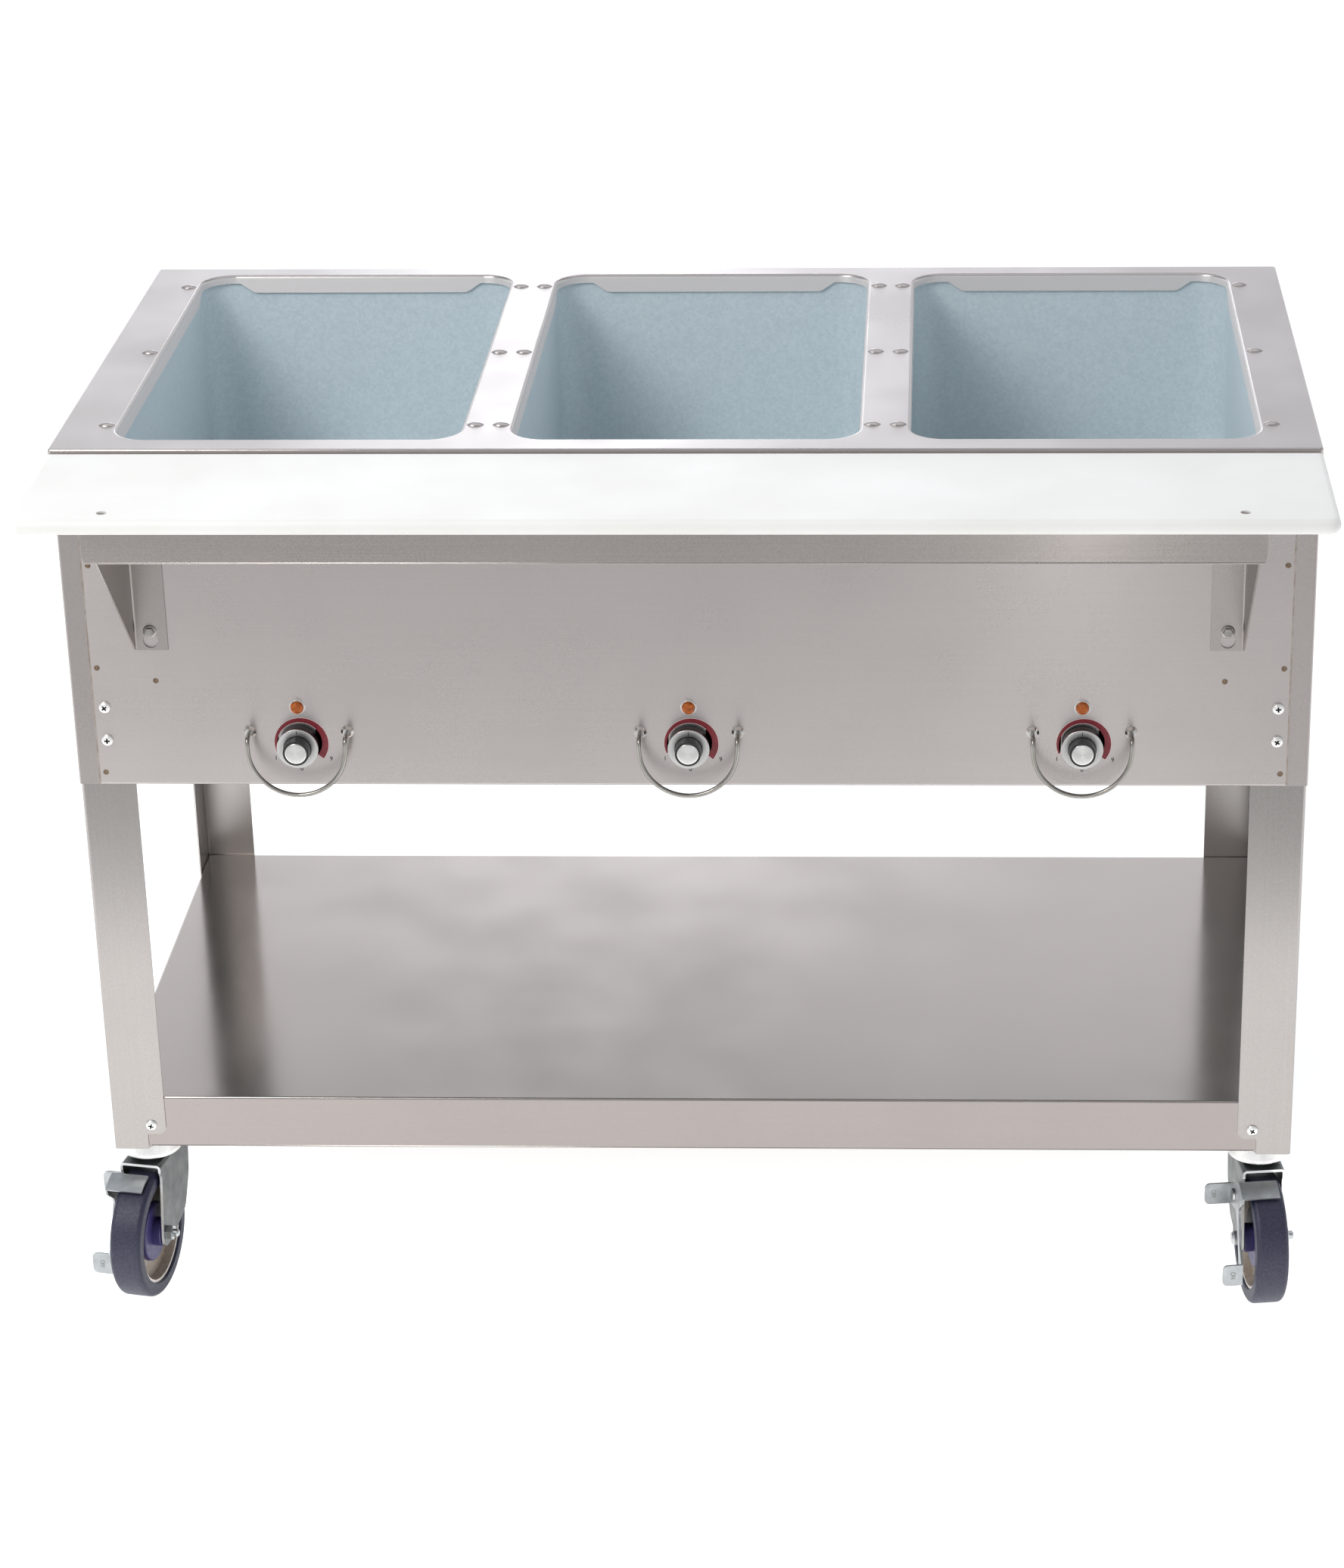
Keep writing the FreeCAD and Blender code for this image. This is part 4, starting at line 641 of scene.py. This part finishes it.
def addScrew(bm, matrix):
    shape = screwShape
    crown = lathe(bm, shape["profile"], shape["turns"], matrix)[-1]
    top = crossLoop(bm, shape["arm"], shape["slotHalf"], shape["crown"], matrix)
    floorLoop = crossLoop(bm, shape["floorArm"], shape["floorHalf"], shape["floor"], matrix)
    count = len(top)
    rim = [bm.edges.get((crown[i], crown[(i + 1) % len(crown)])) for i in range(len(crown))]
    mouth = [bm.edges.new((top[i], top[(i + 1) % count])) for i in range(count)]
    bmesh.ops.triangle_fill(bm, use_beauty=True, edges=rim + mouth)
    walls = [(top[i], top[(i + 1) % count], floorLoop[(i + 1) % count], floorLoop[i]) for i in range(count)]
    # the recess walls and floor take the second slot, which holds the painted shade
    for loop in walls + [floorLoop]:
        bm.faces.new(loop).material_index = 1


tableMiddle = (cadBox[0] + cadBox[1]) / 2
for node, name in (("panel_screws", "panelScrews"), ("shelf_screws", "shelfScrews")):
    bm = bmesh.new()
    for index, (low, high) in enumerate(solidBoxes(node)):
        size = high - low
        way = max(range(3), key=lambda i: size[i])
        middle = (low + high) / 2
        sign = 1 if middle[way] > tableMiddle[way] else -1
        outward = Vector([sign if i == way else 0 for i in range(3)])
        seat = middle + outward * (size[way] / 2 - screwShape["rise"] / 1000)
        twist = Matrix.Rotation(math.radians(screwShape["turnStep"] * index), 4, "Z")
        addScrew(bm, pointing(seat, outward) @ twist)
    screws = makePiece(name, bm, nickelPlate, "base")
    # second slot: painted shade in the cross recesses
    screws.data.materials.append(recessShade)
    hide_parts(node)

# bolts that carry the board shelf: a hex on a dished flange, and plain nuts inside the panel
boltShape = {
    "flange": ((3.0, 0), (6.2, 0), (6.25, 0.6), (5.9, 1.0), (4.7, 1.5), (0, 1.6)),
    "hex": ((0, 1.0), (4.55, 1.0), (4.62, 1.2), (4.62, 3.4), (4.1, 3.9), (3.4, 4.0), (0, 4.0)),
    "nut": ((3.1, 0), (5.2, 0), (5.77, 0.5), (5.77, 3.5), (5.2, 4.0), (3.1, 4.0), (3.1, 0)),
    "headRise": 4.0, "shank": 3.0, "chamfer": 0.4, "turns": 24}
bm = bmesh.new()
for low, high in solidBoxes("bracket_bolts"):
    middle = (low + high) / 2
    if high.y - low.y > 2 * boltShape["headRise"] / 1000:
        seat = pointing((middle.x, low.y + boltShape["headRise"] / 1000, middle.z), (0, -1, 0))
        length = (high.y - low.y) * 1000 - boltShape["headRise"]
        shank = ((0, -length), (boltShape["shank"] - boltShape["chamfer"], -length),
                 (boltShape["shank"], boltShape["chamfer"] - length))
        lathe(bm, shank + boltShape["flange"], boltShape["turns"], seat)
        lathe(bm, boltShape["hex"], 6, seat)
    else:
        lathe(bm, boltShape["nut"], 6, pointing((middle.x, low.y, middle.z), (0, 1, 0)))
bolts = makePiece("bracketBolts", bm, boltSteel, "base")
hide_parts("bracket_bolts")
print("screws and bolts made")


def spunMetal(name, look):
    # aluminium spun on a lathe: fine turned rings, so the shine fans out from the middle
    material, tree, shader = newMaterial(name, {
        "Base Color": linear(look["pale"]), "Metallic": 1.0, "Roughness": look["roughness"],
        "Anisotropic": look["anisotropic"]})
    place = addNode(tree, "TexCoord").outputs["Object"]
    spoke = addNode(tree, "VectorMath", {0: place, 1: (1.0, 0.0, 1.0)}, operation="MULTIPLY").outputs[0]
    outwards = addNode(tree, "VectorMath", {0: spoke}, operation="NORMALIZE").outputs[0]
    tree.links.new(outwards, shader.inputs["Tangent"])
    radius = addNode(tree, "VectorMath", {0: spoke}, operation="LENGTH").outputs["Value"]
    rings = addNode(tree, "TexNoise", {"W": radius, "Scale": 1000 / look["ring"], "Detail": 2.0},
                    noise_dimensions="1D").outputs["Fac"]
    tone = addNode(tree, "ValToRGB", {"Fac": rings})
    setRamp(tone, [(noiseLow, linear(look["deep"])), (noiseHigh, linear(look["pale"]))])
    tree.links.new(tone.outputs["Color"], shader.inputs["Base Color"])
    rough = addNode(tree, "MapRange", {"Value": rings, 1: noiseLow, 2: noiseHigh,
                                       3: look["roughness"] + glossDrift,
                                       4: look["roughness"] - glossDrift}).outputs[0]
    tree.links.new(rough, shader.inputs["Roughness"])
    bump = addNode(tree, "Bump", {"Height": rings, "Strength": 0.08, "Distance": 0.0001})
    tree.links.new(bump.outputs[0], shader.inputs["Normal"])
    return material


# turned rings 0.1 mm apart are too fine for the render, so they are drawn 0.9 mm apart
spunAluminium = spunMetal("spunAluminium", {
    "pale": "#dcdad8", "deep": "#cbc9c6", "roughness": 0.3, "anisotropic": 0.75, "ring": 0.9})


def screenPrint(name, ink, roughness):
    # baked screen ink: solid colour, a little uneven at the mesh's pitch
    return mottled(name, {"pale": ink[0], "deep": ink[1], "roughness": roughness, "drift": 3.0, "grit": 0.5,
                          "bump": 0.05})


redInk = screenPrint("screenInkRed", ("#86202b", "#731a24"), 0.45)
paleInk = screenPrint("screenInkPale", ("#e3d2cd", "#d8c4bf"), 0.5)
blackInk = screenPrint("screenInkBlack", ("#2c2a2c", "#212023"), 0.5)

# skirt plate and end cap of a knob, in mm in front of the knob's back
trimShape = {
    "plate": ((12.5, 11.0), (18.5, 11.0), (19.0, 11.35), (19.0, 11.9), (18.7, 12.2), (13.3, 12.2),
              (12.75, 12.05), (12.5, 11.7), (12.5, 11.0)),
    "cap": ((0, 23.2), (9.5, 23.2), (9.8, 23.4), (9.75, 23.7), (9.4, 23.95), (8.6, 24.05), (5.0, 24.1),
            (0, 24.1)),
    "turns": 64, "knobGap": 2.0, "pointerLow": 13.6, "pointerHigh": 17.6, "pointerWide": 0.7,
    "pointerBack": 12.15, "pointerFront": 12.24}
# heat scale printed round a knob, in mm from the control's middle: a red band that widens clockwise
scaleShape = {
    "offset": 1.8, "outer": 24.8, "start": 203.0, "end": -38.0, "thin": 1.2, "widen": 5.2, "curve": 0.7,
    "border": 0.45, "steps": 56, "ink": 0.08, "sunk": 0.05, "figureTall": 4.0,
    "figures": (("1", -22.5, -14.8), ("9", 28.3, -15.6), ("0", 0.5, -25.5))}


def slab(bm, outline, matrix, low, high):
    # closed plate from an outline of (x, y) in mm, between two heights
    loops = [[bm.verts.new(matrix @ (Vector((x, y, z)) / 1000)) for x, y in outline] for z in (low, high)]
    count = len(outline)
    for i in range(count):
        j = (i + 1) % count
        bm.faces.new((loops[0][i], loops[0][j], loops[1][j], loops[1][i]))
    for loop in loops:
        bmesh.ops.triangulate(bm, faces=[bm.faces.new(loop)], ngon_method="EAR_CLIP")


def heatBand(margin):
    shape = scaleShape
    outer, inner = [], []
    extra = math.degrees(margin / shape["outer"])
    for step in range(shape["steps"] + 1):
        share = step / shape["steps"]
        angle = math.radians(shape["start"] + extra + share * (shape["end"] - shape["start"] - 2 * extra))
        width = shape["thin"] + shape["widen"] * share ** shape["curve"]
        for loop, radius in ((outer, shape["outer"] + margin), (inner, shape["outer"] - width - margin)):
            loop.append((shape["offset"] + radius * math.cos(angle), radius * math.sin(angle)))
    return outer + inner[::-1]


def lettering(bm, words, tall, squeeze, matrix, thick):
    # words as a closed thin mesh: tall is the height of a capital in mm, squeeze narrows the letters
    capShare = 0.69  # of the font's size
    swell = 0.02  # of the letter's height, by which its strokes are drawn bolder
    curve = bpy.data.curves.new("lettering", "FONT")
    curve.body = words
    curve.size = tall / 1000 / capShare
    curve.align_x = "CENTER"
    curve.align_y = "CENTER"
    curve.extrude = thick / 2000
    curve.offset = tall / 1000 * swell
    textObject = bpy.data.objects.new("lettering", curve)
    mesh = bpy.data.meshes.new_from_object(textObject)
    mesh.transform(matrix @ Matrix.Diagonal((squeeze, 1.0, 1.0, 1.0)))
    bm.from_mesh(mesh)
    bpy.data.objects.remove(textObject)
    bpy.data.curves.remove(curve)
    bpy.data.meshes.remove(mesh)


borders, bands, figures = bmesh.new(), bmesh.new(), bmesh.new()
for side in sides:
    control = Vector(joints[side + "_heat"]["pos_m"])
    onPanel = facingFront((control.x, panelFace, control.z))
    slab(borders, heatBand(scaleShape["border"]), onPanel, -scaleShape["sunk"], scaleShape["ink"] / 2)
    slab(bands, heatBand(0.0), onPanel, -scaleShape["sunk"], scaleShape["ink"])
    for figure, x, z in scaleShape["figures"]:
        spot = onPanel @ Matrix.Translation((x / 1000, z / 1000, scaleShape["ink"] / 2000))
        lettering(figures, figure, scaleShape["figureTall"], 1.0, spot, scaleShape["ink"])
    bm = bmesh.new()
    knobBack = facingFront((0, -trimShape["knobGap"] / 1000, 0))
    lathe(bm, trimShape["plate"], trimShape["turns"], knobBack)
    lathe(bm, trimShape["cap"], trimShape["turns"], knobBack)
    trim = makePiece("knobTrim_" + side, bm, spunAluminium, side + "_control",
                     (control.x, panelFace, control.z))
    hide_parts("knob_trim_" + side)
    bm = bmesh.new()
    half = trimShape["pointerWide"] / 2
    low, high = trimShape["pointerLow"], trimShape["pointerHigh"]
    line = [(-half, low), (half, low), (half, high), (-half, high)]
    slab(bm, line, knobBack, trimShape["pointerBack"], trimShape["pointerFront"])
    makePiece("knobPointer_" + side, bm, blackInk, side + "_control",
              (control.x, panelFace, control.z))
makePiece("heatScaleBorders", borders, paleInk, "base")
makePiece("heatScaleBands", bands, redInk, "base")
makePiece("heatScaleFigures", figures, blackInk, "base")
print("knob trims and heat scales made")

# weld marks on the panel, in mm from the body's middle and below the deck: small dished brown spots
weldShape = {"spots": ((538, 110), (538, 209), (538, 312), (485, 221.5)), "turns": 20,
             "profile": ((0, -0.1), (2.6, -0.1), (2.7, 0.04), (2.2, 0.24), (1.4, 0.10), (0, 0.05)),
             "seamAt": 544.0, "seamWide": 1.5, "seamTop": 27.0, "seamBottom": 323.0, "seamSunk": 0.05,
             "seamProud": 0.05}
# heat tint left by spot welding: straw to brown on bare sheet
weldTint = mottled("heatTintedWeld", {
    "pale": "#8a7763", "deep": "#5f5043", "roughness": 0.42, "drift": 2.2, "grit": 0.6, "bump": 0.15},
    {"Metallic": 0.7})
# seam ground flush: a broken, faintly brown line
groundSeam = mottled("groundWeldSeam", {
    "pale": "#b4aaa3", "deep": "#978a80", "roughness": 0.36, "drift": 9.0, "grit": 0.6, "bump": 0.1},
    {"Metallic": 1.0})
spots, seams = bmesh.new(), bmesh.new()
for sign in (-1, 1):
    for across, drop in weldShape["spots"]:
        place = (middleX + sign * across / 1000, panelFace, deckTop - drop / 1000)
        lathe(spots, weldShape["profile"], weldShape["turns"], pointing(place, (0, -1, 0)))
    seamX = sign * weldShape["seamAt"]
    half = weldShape["seamWide"] / 2
    low, high = -weldShape["seamBottom"], -weldShape["seamTop"]
    outline = [(seamX - half, low), (seamX + half, low), (seamX + half, high), (seamX - half, high)]
    onPanel = facingFront((middleX, panelFace, deckTop))
    slab(seams, outline, onPanel, -weldShape["seamSunk"], weldShape["seamProud"])
makePiece("weldMarks", spots, weldTint, "base")
makePiece("weldSeams", seams, groundSeam, "base")

# folded edges along the bottom of the tray's and the undershelf's front lips, in mm
hemShape = {"radius": 0.85, "endRadius": 0.595, "chamfer": 0.4, "proud": 0.3, "below": 0.25, "turns": 12}
for node, name, finish, endGap in (("board_shelf", "trayHem", trayStainless, 1.0),
                                   ("undershelf", "shelfHem", shelfStainless, 34.0)):
    low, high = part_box(node)
    gap = endGap / 1000
    length = (high.x - low.x - 2 * gap) * 1000
    radius = hemShape["radius"]
    start = Vector((low.x + gap, low.y + (radius - hemShape["proud"]) / 1000,
                    low.z + (radius - hemShape["below"]) / 1000))
    endRadius, chamfer = hemShape["endRadius"], hemShape["chamfer"]
    bead = ((0, 0), (endRadius, 0), (radius, chamfer), (radius, length - chamfer), (endRadius, length),
            (0, length))
    bm = bmesh.new()
    lathe(bm, bead, hemShape["turns"], pointing(start, (1, 0, 0)))
    makePiece(name, bm, finish, "base")

# words on the brake tabs, as thin letters that stand just proud of them, in mm in the caster's own frame:
# x along the axle, y back, z up
tabWords = {"words": (("ON", -33.75, -66.0, 44.0), ("OFF", -42.8, -5.0, 100.0)), "tall": 4.8, "squeeze": 0.7,
            "proud": 0.12}
# painted shade on the letters: a soft grey standing in for the shading round embossed letters
tabLetterShade = mottled("paintedLetterShade", {
    "pale": "#8a8d86", "deep": "#7c7f79", "roughness": 0.5, "drift": 3.0, "grit": 0.5, "bump": 0.05})
for corner in ("front_left", "front_right"):
    swivel = Vector(joints[corner + "_swivel"]["pos_m"])
    along = Vector(joints[corner + "_spin"]["axis"])
    back = Vector((-along.y, along.x, 0))
    up = Vector((0, 0, 1))
    bm = bmesh.new()
    for words, x, y, z in tabWords["words"]:
        spot = Vector((swivel.x, swivel.y, 0)) + (along * x + back * y + up * z) / 1000
        downwards = Matrix((-up, along, -back)).transposed().to_4x4()
        lettering(bm, words, tabWords["tall"], tabWords["squeeze"], Matrix.Translation(spot) @ downwards,
                  2 * tabWords["proud"])
    makePiece(corner + "_tabWords", bm, tabLetterShade, corner + "_brake")
print("weld marks, folded edges and tab words made")
